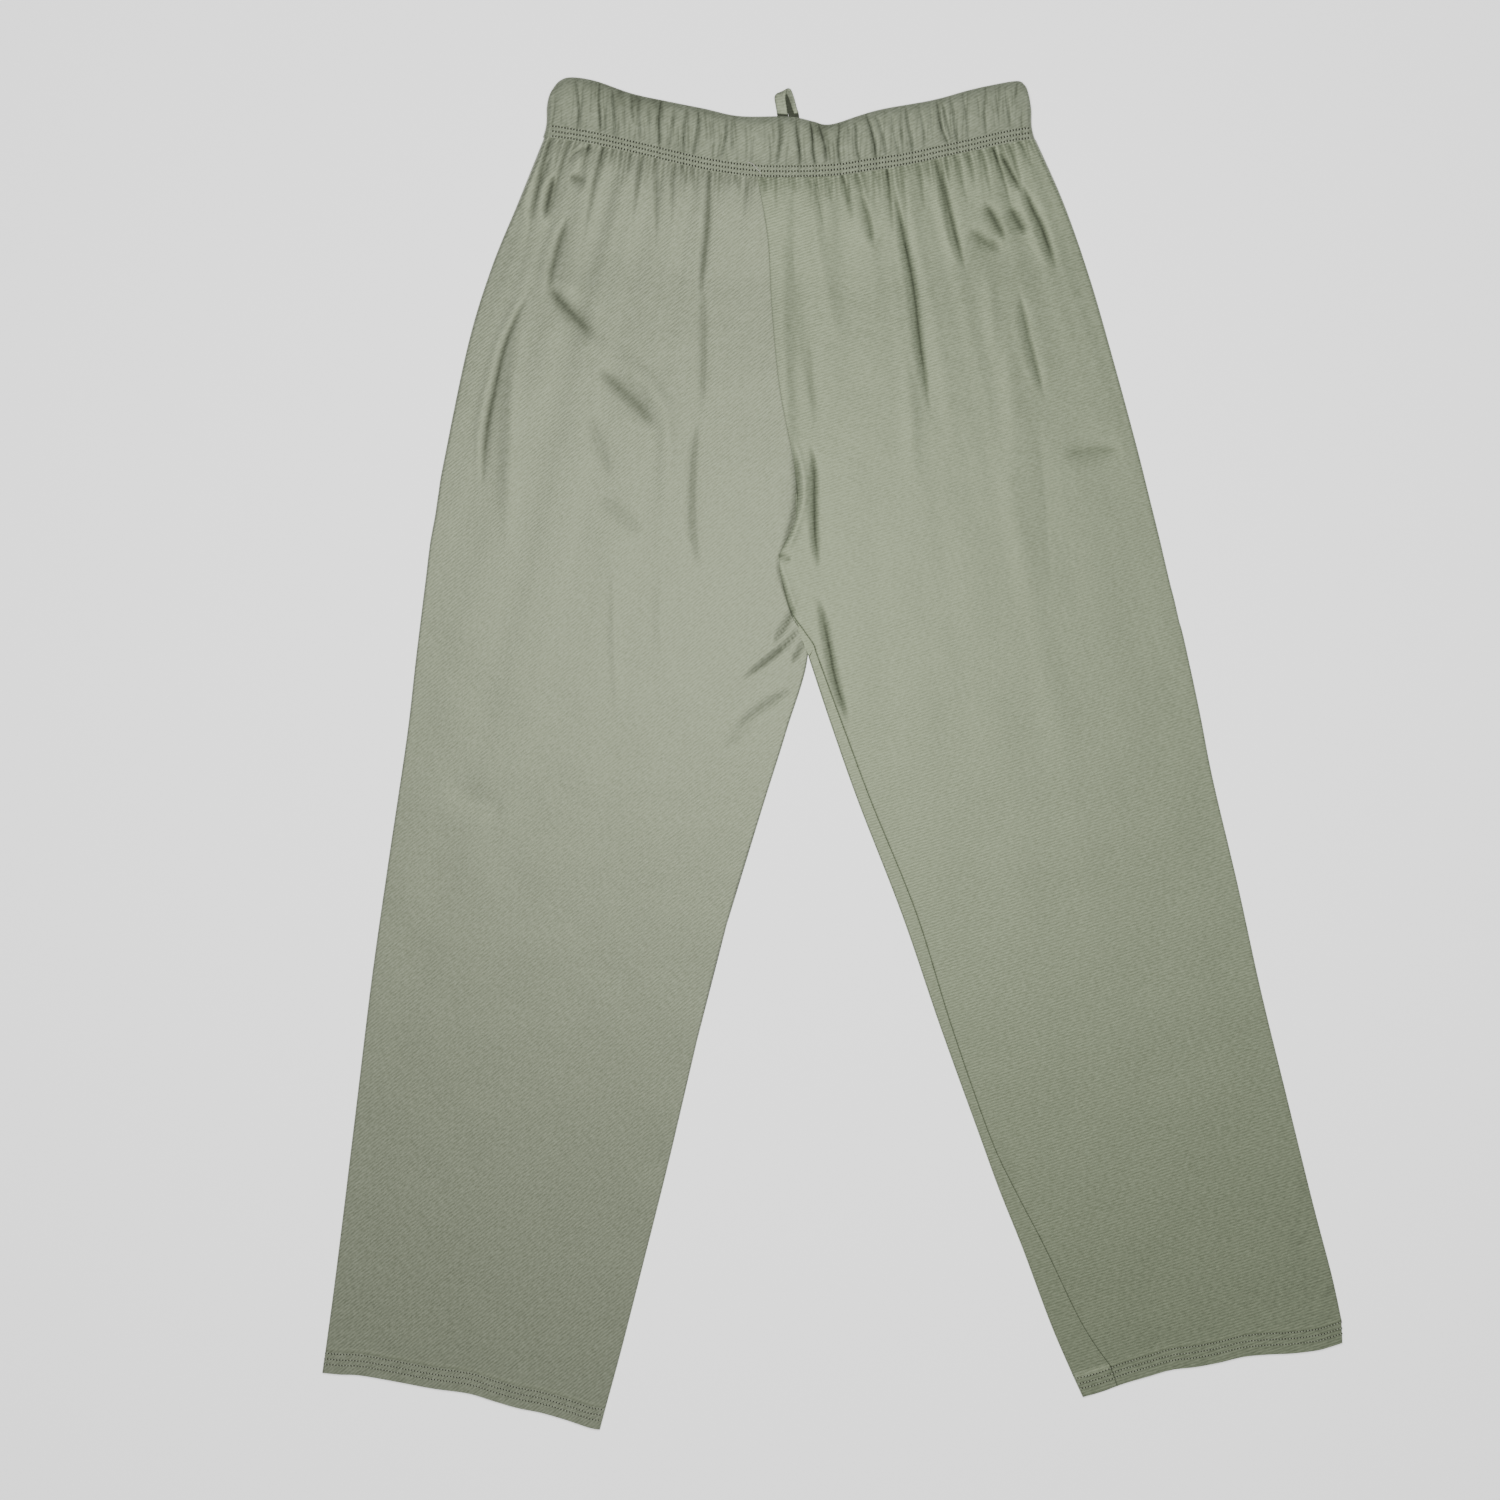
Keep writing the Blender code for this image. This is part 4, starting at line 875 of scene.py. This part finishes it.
def front_left_panel(cloth):
    """The front of the left leg: a sheet underneath."""
    parts = number_of(LEFT_LEG, "leg parts")
    places = np.array(rows_of(LEFT_LEG, 2.0))
    folded = places > parts
    starts = np.where(folded[:, None], edge(LEFT_LEG, INNER, places), front_seam(places, parts))
    starts = starts - np.array((SEAM_GAP / 2, 0.0))
    ends = edge(LEFT_LEG, OUTER, places)
    below, above, painted_shades = front_sheet(starts, ends, places, LEFT_LEG, LEFT_HEM, folded)
    return shell("front_left", cloth, below, painted_shades, above)


def unit(vectors):
    """Vectors made 1 long."""
    return vectors / np.linalg.norm(vectors, axis=-1, keepdims=True)


def turned_edge(folds, outer_edges, seams, hems):
    """The fold at the inner edge and the strip from it to the inseam, in rows outside and inside."""
    towards_outer, towards_seam = unit(outer_edges - folds), unit(seams - folds)
    lower = WALL + hems * HEM_EXTRA
    middle = lower + GAP / 2
    turns = np.arange(1, FOLD_STEPS) / FOLD_STEPS
    angles = math.pi * (turns - 0.5)
    ways = unit(towards_outer[:, None] * (1 - turns)[:, None] + towards_seam[:, None] * turns[:, None])
    strip_start = folds + towards_seam * middle
    strip_end = seams - towards_seam * SEAM_GAP / 2
    shares = np.linspace(0, 1, STRIP_COLUMNS)
    strip = strip_start[:, None] + (strip_end - strip_start)[:, None] * shares[:, None]
    widths = np.linalg.norm(strip_end - strip_start, axis=1)[:, None]
    drop = SEAM_DROP * (1 - quarter_round((1 - shares) * widths / SEAM_ROUND))
    faces = []
    for radius, strip_z in ((middle, 2 * middle - drop), (GAP / 2, lower + GAP + 0 * drop)):
        bend = folds[:, None] + ways * (middle - radius * np.cos(angles))[..., None]
        bend_z = middle + radius * np.sin(angles)
        faces.append(np.concatenate((np.concatenate((bend, bend_z[..., None]), axis=2),
                                     np.concatenate((strip, strip_z[..., None]), axis=2)), axis=1))
    return faces


def front_right_panel(cloth):
    """The front of the right leg: a sheet underneath that turns up round the inner edge."""
    crotch = number_of(RIGHT_LEG, "crotch")
    places = np.array(rows_of(RIGHT_LEG, 1.6))
    hems = hem_at(RIGHT_LEG, places)[:, None]
    outer_edges, folds, seams = (edge(RIGHT_LEG, column, places) for column in (OUTER, FOLD, INNER))
    inward = unit(outer_edges - folds) * (WALL + hems * HEM_EXTRA + GAP / 2)
    centre = front_seam(places, crotch) + np.array((SEAM_GAP / 2, 0.0))
    turned = places >= crotch
    starts = np.where(turned[:, None], folds + inward, centre)
    not_rounded = np.zeros(len(places), bool)
    below, above, painted_shades = front_sheet(starts, outer_edges, places, RIGHT_LEG, RIGHT_HEM, not_rounded)
    seams = seams + np.stack((0 * places, hem_rise(seams[:, 0], places, RIGHT_LEG, RIGHT_HEM)), axis=1)
    step = int(np.argmax(turned))
    outside, inside = turned_edge(folds[step:], outer_edges[step:], seams[step:], hems[step:])
    wall = Wall()
    lower_rows, upper_rows = [], []
    for row in range(len(places)):
        outer_part, inner_part = (part[row - step] if row >= step else part[0][:0]
                                  for part in (outside, inside))
        lower_rows.append(wall.row(np.concatenate((below[row][::-1], outer_part)),
                                   np.concatenate((painted_shades[row][::-1], np.zeros(len(outer_part))))))
        upper_rows.append(wall.row(np.concatenate((above[row][::-1], inner_part))))
    lower_end, upper_end = below.shape[1], above.shape[1]
    for rows, sheet_end in ((lower_rows, lower_end), (upper_rows, upper_end)):
        for index in range(len(rows) - 1):
            last = sheet_end if index == step - 1 else None
            wall.bridge(rows[index], rows[index + 1][:last])
    wall.ladder([row[0] for row in lower_rows], [row[0] for row in upper_rows])
    wall.ladder([row[-1] for row in lower_rows[:step]] + [lower_rows[step][lower_end - 1]],
                [row[-1] for row in upper_rows[:step]] + [upper_rows[step][upper_end - 1]])
    wall.bridge(lower_rows[step][lower_end - 1:], upper_rows[step][upper_end - 1:])
    wall.ladder([row[-1] for row in lower_rows[step:]], [row[-1] for row in upper_rows[step:]])
    wall.bridge(lower_rows[0], upper_rows[0])
    wall.bridge(lower_rows[-1], upper_rows[-1])
    return wall.build("front_right", cloth)


# ---------------------------------------------------------------- waistband

# The same columns as BAND_CREASES, from draws of lean, depth, start and length
FINE_BAND_CREASES = [
    (x + lean, x, depth, start, start + length, depth)
    for x, lean, depth, start, length in scattered(8, 6, (-1.5, 0.15, -0.4, 0.35), (1.5, 0.45, 0.6, 0.9), 5.6)
]


def band_dents(x, share, flip):
    """How deep the casing's creases are at a share of its height above the foot, and the painted shade in
    them and below the top edge.
    """
    if flip:
        x = 2 * BAND_MIDDLE - x
    dents, painted_shades = np.zeros(np.shape(x)), np.zeros(np.shape(x))
    for table, half_width, ending in ((BAND_CREASES, 1.05, 0.3), (FINE_BAND_CREASES, 0.8, 0.5)):
        for top_x, foot_x, depth, start, end, sharp in table:
            inside = ease((share - start) / ending + 0.5) * ease((end - share) / ending + 0.5)
            bend = 0.8 * math.sin(1.7 * foot_x + 5 * share)
            away = np.abs(x - foot_x - (top_x - foot_x) * share - bend)
            dents += 0.8 * depth * inside * np.exp(-away / half_width)
            painted_shades += 0.85 * sharp * inside * np.exp(-(away / 0.7) ** 1.5)
    # painted shadows below the top edge, made patchy
    mottled = 0.7 + 0.5 * ripples(x * 4, share * 90)
    for middle, half_width, reach, dark in BAND_SHADOWS:
        painted_shades += dark * np.exp(-((x - middle) / half_width) ** 2 - ((1 - share) / reach) ** 2) * mottled
    uneven = RIPPLE_HEIGHT * ripples(x * 1.4, share * 30)
    return np.minimum(dents, BAND_CREST + 0.7) + uneven, np.maximum(painted_shades, 0)


def band_loops(x, angles, tucks, crest, dented, flip):
    """Closed loops of points round the casing, one for each x, and their painted shade.

    An angle is the way the casing faces there; crest and dented are how much of its gathers it has.
    A loop goes up the casing's inside, over its rim, down its outside and down its foot. The
    profile has a row for each of its points: share of the height, mm above that, distance from
    the middle of the hollow, painted shade.
    """
    near = WAIST_HOLLOW / 2
    height = height_at(WAIST_TOP_LINE, x) - height_at(WAIST_SEAM_LINE, x) - tucks
    foot_share = FLANGE_DEEP / height
    none = 0 * x
    profile = [(none, 0.0, near, none), (none + 1, -2.0, near, none), (none + 1, -0.5, near + 0.5, none),
               (none + 1, 0.0, near + BAND_RIM, none)]
    for share in np.linspace(0.975, 0.02, BAND_ROWS):
        dents, painted_shades = band_dents(x, share, flip)
        body = FLANGE + (CASING - FLANGE + crest * BAND_CREST) * ease(share / 0.7) - BAND_RIM
        body = body - dented * dents * (0.4 + 0.6 * ease(share / 0.2))
        out = near + BAND_RIM + body * quarter_round((1 - share) / 0.2)
        profile.append((foot_share + (1 - foot_share) * share, 0.0, out, dented * painted_shades))
    dents, painted_shades = band_dents(x, 0.02, flip)
    for share in np.linspace(1, 0, FOOT_ROWS):
        profile.append((foot_share * share, 0.0, near + FLANGE - 0.4 * dented * dents, 0.4 * dented * painted_shades))
    points = []
    for share, offset, out, _ in profile:
        point_x = x + np.cos(angles) * out
        foot = height_at(WAIST_SEAM_LINE, point_x) + SEAM_GAP / 2
        top = height_at(WAIST_TOP_LINE, point_x) - tucks
        flared = point_x + (point_x - BAND_MIDDLE) * BAND_FLARE * np.clip(1 - share * 1.6, 0, 1) ** 2
        points.append(np.stack((flared, foot + (top - foot) * share + offset,
                                HOLLOW_MIDDLE + np.sin(angles) * out), axis=-1))
    return np.stack(points, axis=1), np.stack([painted_shade for *_, painted_shade in profile], axis=1)


def waistband(cloth):
    """The casing: one flattened ring, its back half on top of its front half."""
    reach = WAIST_HOLLOW / 2 + CASING
    left, right = BAND_END[0] + reach, BAND_END[1] - reach
    back_x = np.linspace(left, right, BAND_LOOPS["back"] + 1)
    front_x = np.linspace(right, left, BAND_LOOPS["front"] + 1)
    bend = np.arange(1, BAND_LOOPS["side"]) / BAND_LOOPS["side"]
    crest = ease((back_x - left) / 10) * ease((right - back_x) / 10)
    parts = (
        band_loops(back_x, 0 * back_x + math.pi / 2, 0 * back_x, crest, 1.0, False),
        band_loops(0 * bend + right, math.pi * (0.5 - bend), FRONT_TUCK * bend, 0.0, 0.0, False),
        band_loops(front_x, 0 * front_x - math.pi / 2, 0 * front_x + FRONT_TUCK, 0.0, 0.7, True),
        band_loops(0 * bend + left, math.pi * (1.5 - bend), FRONT_TUCK * (1 - bend), 0.0, 0.0, False),
    )
    wall = Wall()
    loops = [wall.row(points, painted_shades) for part in parts for points, painted_shades in zip(*part)]
    wall.rings(loops + loops[:1])
    return wall.build("waistband_cloth", cloth)


# ---------------------------------------------------------------- drawstring

def drawstring(cloth):
    """A flat tape of the trousers' own cloth, which leaves the waist, folds over and goes back in.

    Its section has shares of the half width and of the half thickness. The strand that comes down
    behind the other has painted shade on its left, where that one shades it.
    """
    line = smooth(DRAWSTRING, np.linspace(0, len(DRAWSTRING) - 1, TAPE_LOOPS))
    section = [(-1.0, 0.0), (-0.96, 0.7), (-0.8, 1.0), (-0.4, 0.75), (0.0, 0.7), (0.4, 0.75), (0.8, 1.0),
               (0.96, 0.7), (1.0, 0.0), (0.96, -0.7), (0.8, -1.0), (0.25, -0.8), (0.1, -0.8), (-0.8, -1.0),
               (-0.96, -0.7)]
    wall = Wall()
    loops = []
    middles = (line[:, :3] + line[:, 3:]) / 2
    for index, (middle, edges) in enumerate(zip(middles, line)):
        along = unit(middles[min(index + 1, len(line) - 1)] - middles[max(index - 1, 0)])
        half = (edges[3:] - edges[:3]) / 2 * TAPE_SPREAD
        face = unit(np.cross(half, along))
        # painted shade: the left of the strand behind, and all of the tape below the waist's edge
        behind = ease((index / len(line) - 0.5) / 0.06)
        loops.append(wall.row(
            [middle + half * over + face * through * TAPE_THICK / 2 for over, through in section],
            [max(behind * (over < 0.2), middle[1] < TAPE_SHADOW) for over, through in section]))
    wall.rings(loops)
    wall.faces += [tuple(loops[0]), tuple(loops[-1])]
    return wall.build("drawstring_tape", cloth), middles * METRES


# ---------------------------------------------------------------- finishes

def wire(tree, node, inputs):
    """Give a node's inputs their values, or other nodes' outputs."""
    for name, value in inputs.items():
        socket = node.inputs[name]
        if isinstance(value, bpy.types.NodeSocket):
            tree.links.new(value, socket)
        else:
            socket.default_value = value


def add(tree, kind, inputs=None, output=0, **settings):
    """A node with its inputs and settings: one of its outputs, or the node where that is None."""
    node = tree.nodes.new(kind)
    for name, value in settings.items():
        setattr(node, name, value)
    wire(tree, node, inputs or {})
    return node if output is None else node.outputs[output]


def maths(tree, operation, *values):
    """A sum, product or the like."""
    return add(tree, "ShaderNodeMath", dict(enumerate(values)), operation=operation)


def remap(tree, value, low, high, to_low, to_high):
    """A value whose range from low to high becomes another."""
    return add(tree, "ShaderNodeMapRange", {"Value": value, "From Min": low, "From Max": high,
                                            "To Min": to_low, "To Max": to_high})


def new_finish(name):
    """A material, its nodes and its shader."""
    finish = bpy.data.materials.new(name)
    finish.use_nodes = True
    return finish, finish.node_tree, finish.node_tree.nodes["Principled BSDF"]


def satin(name, colour, grain_turn, weave=1.0, hem_shade=1.0):
    """Satin-backed twill: a fine diagonal weave, thread grain, and painted shade in its creases, which are
    dull there too.

    grain_turn is how the piece's grain lies, weave how strongly the diagonal shows, and the last
    argument what is left of the colour down at the hem, which painted shade darkens.
    """
    finish, tree, shader = new_finish(name)
    place = add(tree, "ShaderNodeTexCoord", output="Object")
    turned = add(tree, "ShaderNodeMapping", {"Vector": place, "Rotation": (0, 0, grain_turn)})
    twilled = add(tree, "ShaderNodeMapping", {"Vector": turned, "Rotation": (0, 0, TWILL_TURN)})
    twill = add(tree, "ShaderNodeTexWave", {"Vector": twilled, "Scale": 150.0, "Distortion": 1.2,
                                            "Detail": 1.0, "Detail Scale": 2.0}, "Fac")
    threads = add(tree, "ShaderNodeMapping", {"Vector": twilled, "Scale": (1.0, 0.4, 1.0)})
    grain = add(tree, "ShaderNodeTexNoise", {"Vector": threads, "Scale": 700.0, "Detail": 2.0}, "Fac")
    cloudy = add(tree, "ShaderNodeTexNoise", {"Vector": turned, "Scale": 9.0, "Detail": 3.0}, "Fac")
    painted_shade = add(tree, "ShaderNodeAttribute", output="Fac", attribute_name="painted_shade")
    height = add(tree, "ShaderNodeSeparateXYZ", {"Vector": place}, "Y")

    weave_sum = maths(tree, "MULTIPLY_ADD", twill, 0.36 * weave, grain)
    shade = remap(tree, weave_sum, 0.35, 1.0, 0.66, 1.32)
    tone = remap(tree, cloudy, 0.3, 0.7, 0.975, 1.025)
    # painted shade: the colour darker down towards the hem
    lower = remap(tree, height, -0.46, -0.16, hem_shade, 1.0)
    tone = maths(tree, "MULTIPLY", tone, lower)
    # painted shade from the mesh attribute: darker at the bottoms of creases, in seam lines and in shadows
    dark = remap(tree, painted_shade, 0.0, 1.0, 1.0, SLIT_SHADE)
    factor = maths(tree, "MULTIPLY", maths(tree, "MULTIPLY", shade, tone), dark)
    wire(tree, shader, {
        "Base Color": add(tree, "ShaderNodeVectorMath", {0: colour, "Scale": factor}, operation="SCALE"),
        "Normal": add(tree, "ShaderNodeBump", {"Height": weave_sum, "Strength": 0.35, "Distance": 0.0003}),
        "Roughness": remap(tree, painted_shade, 0.0, 1.0, *ROUGHNESS),
        "Specular IOR Level": 0.62,
        "Specular Tint": (0.88, 1.0, 0.62, 1.0),
        "Sheen Weight": 0.03,
        "Sheen Roughness": 0.5,
    })
    return finish


def plain_finish(name, colour, roughness):
    """A single finish for small things, with a little unevenness."""
    finish, tree, shader = new_finish(name)
    place = add(tree, "ShaderNodeTexCoord", output="Object")
    fibre = add(tree, "ShaderNodeTexNoise", {"Vector": place, "Scale": 1500.0, "Detail": 1.0}, "Fac")
    shade = remap(tree, fibre, 0.0, 1.0, 0.85, 1.15)
    tint = add(tree, "ShaderNodeVectorMath", {0: colour, "Scale": shade}, operation="SCALE")
    wire(tree, shader, {"Base Color": tint, "Roughness": roughness})
    return finish


# ---------------------------------------------------------------- sewing

def stitch_tree(thread, hole):
    """Stitches along a line: threads that lie on the cloth, with a needle hole's painted shade, a dark disc,
    between two.
    """
    tree = bpy.data.node_groups.new("stitch row", "GeometryNodeTree")
    inputs = {"Geometry": ("Geometry", None), "Up": ("Vector", (0, 0, 1)), "Seed": ("Int", 3)}
    for name, size in {"Pitch": STITCH_PITCH, **WAIST_STITCH}.items():
        inputs[name] = ("Float", size * METRES)
    for name, (kind, value) in inputs.items():
        socket = tree.interface.new_socket(name, in_out="INPUT", socket_type="NodeSocket" + kind)
        if value is not None:
            socket.default_value = value
    tree.interface.new_socket("Geometry", in_out="OUTPUT", socket_type="NodeSocketGeometry")
    given = add(tree, "NodeGroupInput", output=None).outputs

    line = add(tree, "GeometryNodeMeshToCurve", {"Mesh": given["Geometry"]})
    spaced = add(tree, "GeometryNodeResampleCurve", {"Curve": line, "Length": given["Pitch"]}, mode="LENGTH")
    along = add(tree, "GeometryNodeInputTangent")
    facing = add(tree, "FunctionNodeAlignRotationToVector", {"Vector": along}, axis="X")
    upright = add(tree, "FunctionNodeAlignRotationToVector", {"Rotation": facing, "Vector": given["Up"]},
                  axis="Z", pivot_axis="X")
    uneven = add(tree, "FunctionNodeRandomValue", {0: (-0.05, -0.05, -0.12), 1: (0.05, 0.05, 0.12),
                                                   "Seed": given["Seed"]}, data_type="FLOAT_VECTOR")
    jitter = add(tree, "FunctionNodeEulerToRotation", {"Euler": uneven})
    turned = add(tree, "FunctionNodeRotateRotation", {"Rotation": upright, "Rotate By": jitter},
                 rotation_space="LOCAL")

    ball = add(tree, "GeometryNodeMeshUVSphere", {"Segments": 6, "Rings": 4, "Radius": 0.5})
    width = given["Thread width"]
    size = add(tree, "ShaderNodeCombineXYZ", {0: given["Thread length"], 1: width, 2: width})
    laid = add(tree, "GeometryNodeTransform", {"Geometry": ball, "Scale": size})
    # the needle hole: a dark disc of painted shade
    disc = add(tree, "GeometryNodeMeshCircle", {"Vertices": 7, "Radius": 0.5}, fill_type="NGON")
    size = add(tree, "ShaderNodeCombineXYZ", {0: given["Hole width"], 1: given["Hole height"], 2: 1.0})
    half = maths(tree, "MULTIPLY", given["Pitch"], 0.5)
    between = add(tree, "ShaderNodeCombineXYZ", {0: half, 1: 0.0, 2: HOLE_LIFT * METRES})
    sunk = add(tree, "GeometryNodeTransform", {"Geometry": disc, "Scale": size, "Translation": between})
    both = add(tree, "GeometryNodeJoinGeometry", output=None)
    for shape, material in ((laid, thread), (sunk, hole)):
        painted = add(tree, "GeometryNodeSetMaterial", {"Geometry": shape, "Material": material})
        tree.links.new(painted, both.inputs[0])
    placed = add(tree, "GeometryNodeInstanceOnPoints",
                 {"Points": spaced, "Instance": both.outputs[0], "Rotation": turned})
    real = add(tree, "GeometryNodeRealizeInstances", {"Geometry": placed})
    add(tree, "NodeGroupOutput", {"Geometry": real}, output=None)
    return tree


def made_plain(draft, name):
    """A plain mesh of a draft's evaluated shape, as an object in the draft's place."""
    bpy.context.view_layer.update()
    mesh = bpy.data.meshes.new_from_object(draft.evaluated_get(bpy.context.evaluated_depsgraph_get()))
    mesh.name = name
    bpy.data.objects.remove(draft)
    return linked(name, mesh)


def stitch_rows(name, lines, up, tree, sizes):
    """One plain mesh of stitches along some lines of points on the cloth."""
    mesh = bpy.data.meshes.new(name)
    points, edges = [], []
    for line in lines:
        first = len(points)
        points += [tuple(point) for point in np.asarray(line) * METRES]
        edges += [(k, k + 1) for k in range(first, len(points) - 1)]
    mesh.from_pydata(points, edges, [])
    draft = linked(name + "_draft", mesh)
    modifier = draft.modifiers.new("stitches", "NODES")
    modifier.node_group = tree
    named = {item.name: item.identifier for item in tree.interface.items_tree if item.in_out == "INPUT"}
    modifier[named["Up"]] = up
    for socket_name, value in sizes.items():
        modifier[named[socket_name]] = value * METRES
    return made_plain(draft, name)


def waist_line(height, side):
    """A stitch row round the back half of the casing's foot, or the front's where side is -1."""
    x = np.linspace(BAND_END[0] + WAIST_ROW_INSET, BAND_END[1] - WAIST_ROW_INSET, 300)
    y = height_at(WAIST_SEAM_LINE, x) + height + ROW_WANDER * np.sin(x / ROW_WANDER_LENGTH)
    z = HOLLOW_MIDDLE + side * (WAIST_HOLLOW / 2 + FLANGE)
    return np.array((x, y, np.full(len(x), z))).T


def hem_line(sections, wave, height, columns):
    """A stitch row on a hem's upper face, at a height above its edge, between two edges' columns."""
    last = len(sections) - 1
    inner, outer = (edge(sections, column, last) for column in columns)
    inner_before, outer_before = (edge(sections, column, last - 1) for column in columns)
    rise = height / np.linalg.norm(inner - inner_before)
    starts, ends = inner + (inner_before - inner) * rise, outer + (outer_before - outer) * rise
    shares = np.linspace(*ROW_ENDS[columns], max(8, int(np.linalg.norm(ends - starts) / 1.5)))
    if columns == STRIP:
        strip = starts + (ends - starts) * shares[:, None]
        y = strip[:, 1] + hem_rise(strip[:, 0], last, sections, wave)
        return np.stack((strip[:, 0], y, 0 * y + 2 * (WALL + HEM_EXTRA) + GAP), axis=1)
    x, y = shifted(starts, ends, shares, last, sections, wave)
    return np.array((x[0], y[0], back_outside(x, y, 1.0)[0][0])).T


def thread_end(name, route, radius, material):
    """A loose end of thread that lies on the cloth."""
    curve = bpy.data.curves.new(name, "CURVE")
    curve.dimensions = "3D"
    curve.bevel_depth, curve.bevel_resolution = radius * METRES, 1
    curve.use_fill_caps = True
    spline = curve.splines.new("POLY")
    line = drawn_through(route) * METRES
    spline.points.add(len(line) - 1)
    for point, place in zip(spline.points, line):
        point.co = (*place, 1.0)
    piece = made_plain(linked(name + "_draft", curve), name)
    piece.data.materials.clear()
    piece.data.materials.append(material)
    return piece


# ---------------------------------------------------------------- studio

def studio():
    """Camera straight above, a pale floor and soft light from near the camera."""
    scene = bpy.context.scene
    camera = linked("camera", bpy.data.cameras.new("camera"))
    camera.data.lens, camera.data.sensor_width = LENS, SENSOR
    distance = FRAME_WIDTH * METRES * LENS / SENSOR
    camera.location = (CAMERA_X * METRES, CAMERA_Y * METRES, distance)
    camera.data.dof.use_dof = False
    scene.camera = camera

    floor_mesh = bpy.data.meshes.new("floor")
    corners = ((-1, -1), (1, -1), (1, 1), (-1, 1))
    points = [(x * FLOOR_HALF, y * FLOOR_HALF, FLOOR_Z) for x, y in corners]
    floor_mesh.from_pydata(points, [], [(0, 1, 2, 3)])
    floor = linked("floor", floor_mesh)
    paper, tree, shader = new_finish("floor_paper")
    wire(tree, shader, {"Base Color": (0.93, 0.93, 0.93, 1), "Roughness": 0.9, "Specular IOR Level": 0.1,
                        "Emission Color": (1, 1, 1, 1), "Emission Strength": PAPER_GLOW})
    floor_mesh.materials.append(paper)

    for name, place, size, watts in LAMPS:
        lamp = bpy.data.lights.new(name, "AREA")
        lamp.shape = "DISK"
        lamp.size = size
        lamp.energy = watts
        lit = linked(name, lamp)
        lit.location = place
        lit.rotation_mode = "QUATERNION"
        lit.rotation_quaternion = (Vector(LAMPS_AIM) - Vector(place)).to_track_quat("-Z", "Y")

    world = bpy.data.worlds.new("studio")
    scene.world = world
    world.use_nodes = True
    sky = world.node_tree.nodes["Background"]
    wire(world.node_tree, sky, {"Color": (1, 1, 1, 1), "Strength": DAYLIGHT})


# ---------------------------------------------------------------- the trousers

studio()

# the hems darkened with painted shade, the right one more
left_cloth = satin("satin_left", SAGE_LEFT, math.radians(-10), hem_shade=0.96)
right_cloth = satin("satin_right", SAGE_RIGHT, math.radians(10), hem_shade=0.85)
band_cloth = satin("satin_band", SAGE_BAND, 0.0, 0.6)
tape_cloth = satin("satin_tape", SAGE_BAND, 0.3, 0.6)
thread = plain_finish("sewing_thread", (0.33, 0.355, 0.28), 0.6)
pale_thread = plain_finish("pale_thread", (0.42, 0.43, 0.36), 0.6)
# painted shade: the dark inside the needle holes
needle_hole_shade = plain_finish("needle_hole_shade", (0.035, 0.037, 0.025), 0.9)

tape, tape_path = drawstring(tape_cloth)
band = waistband(band_cloth)
back_left = back_panel("back_left", LEFT_LEG, LEFT_HEM, BACK_COLUMNS["left"], left_cloth)
back_right = back_panel("back_right", RIGHT_LEG, RIGHT_HEM, BACK_COLUMNS["right"], right_cloth)
front_left = front_left_panel(left_cloth)
front_right = front_right_panel(right_cloth)
for piece, node, slot in (
    (tape, "drawstring", "tape"),
    (band, "waistband", "waistband_cloth"),
    (back_left, "back_left_leg", "leg_cloth"),
    (back_right, "back_right_leg", "leg_cloth"),
    (front_left, "front_left_leg", "leg_cloth"),
    (front_right, "front_right_leg", "leg_cloth"),
):
    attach(piece, "root")
    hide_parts(node)

row_tree = stitch_tree(thread, needle_hole_shade)
for name, side in (("waist_stitches_back", 1), ("waist_stitches_front", -1)):
    rows = [waist_line(height, side) for height in WAIST_ROWS]
    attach(stitch_rows(name, rows, (0, 0, side), row_tree, {}), "root")
rows = [hem_line(leg, wave, height, columns)
        for leg, wave, columns in ((LEFT_LEG, LEFT_HEM, BACK), (RIGHT_LEG, RIGHT_HEM, BACK),
                                   (RIGHT_LEG, RIGHT_HEM, STRIP))
        for height in HEM_ROWS]
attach(stitch_rows("hem_stitches_back", rows, (0, 0, 1), row_tree, HEM_STITCH), "root")
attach(thread_end("thread_end", LOOSE_END, LOOSE_END_RADIUS, pale_thread), "root")
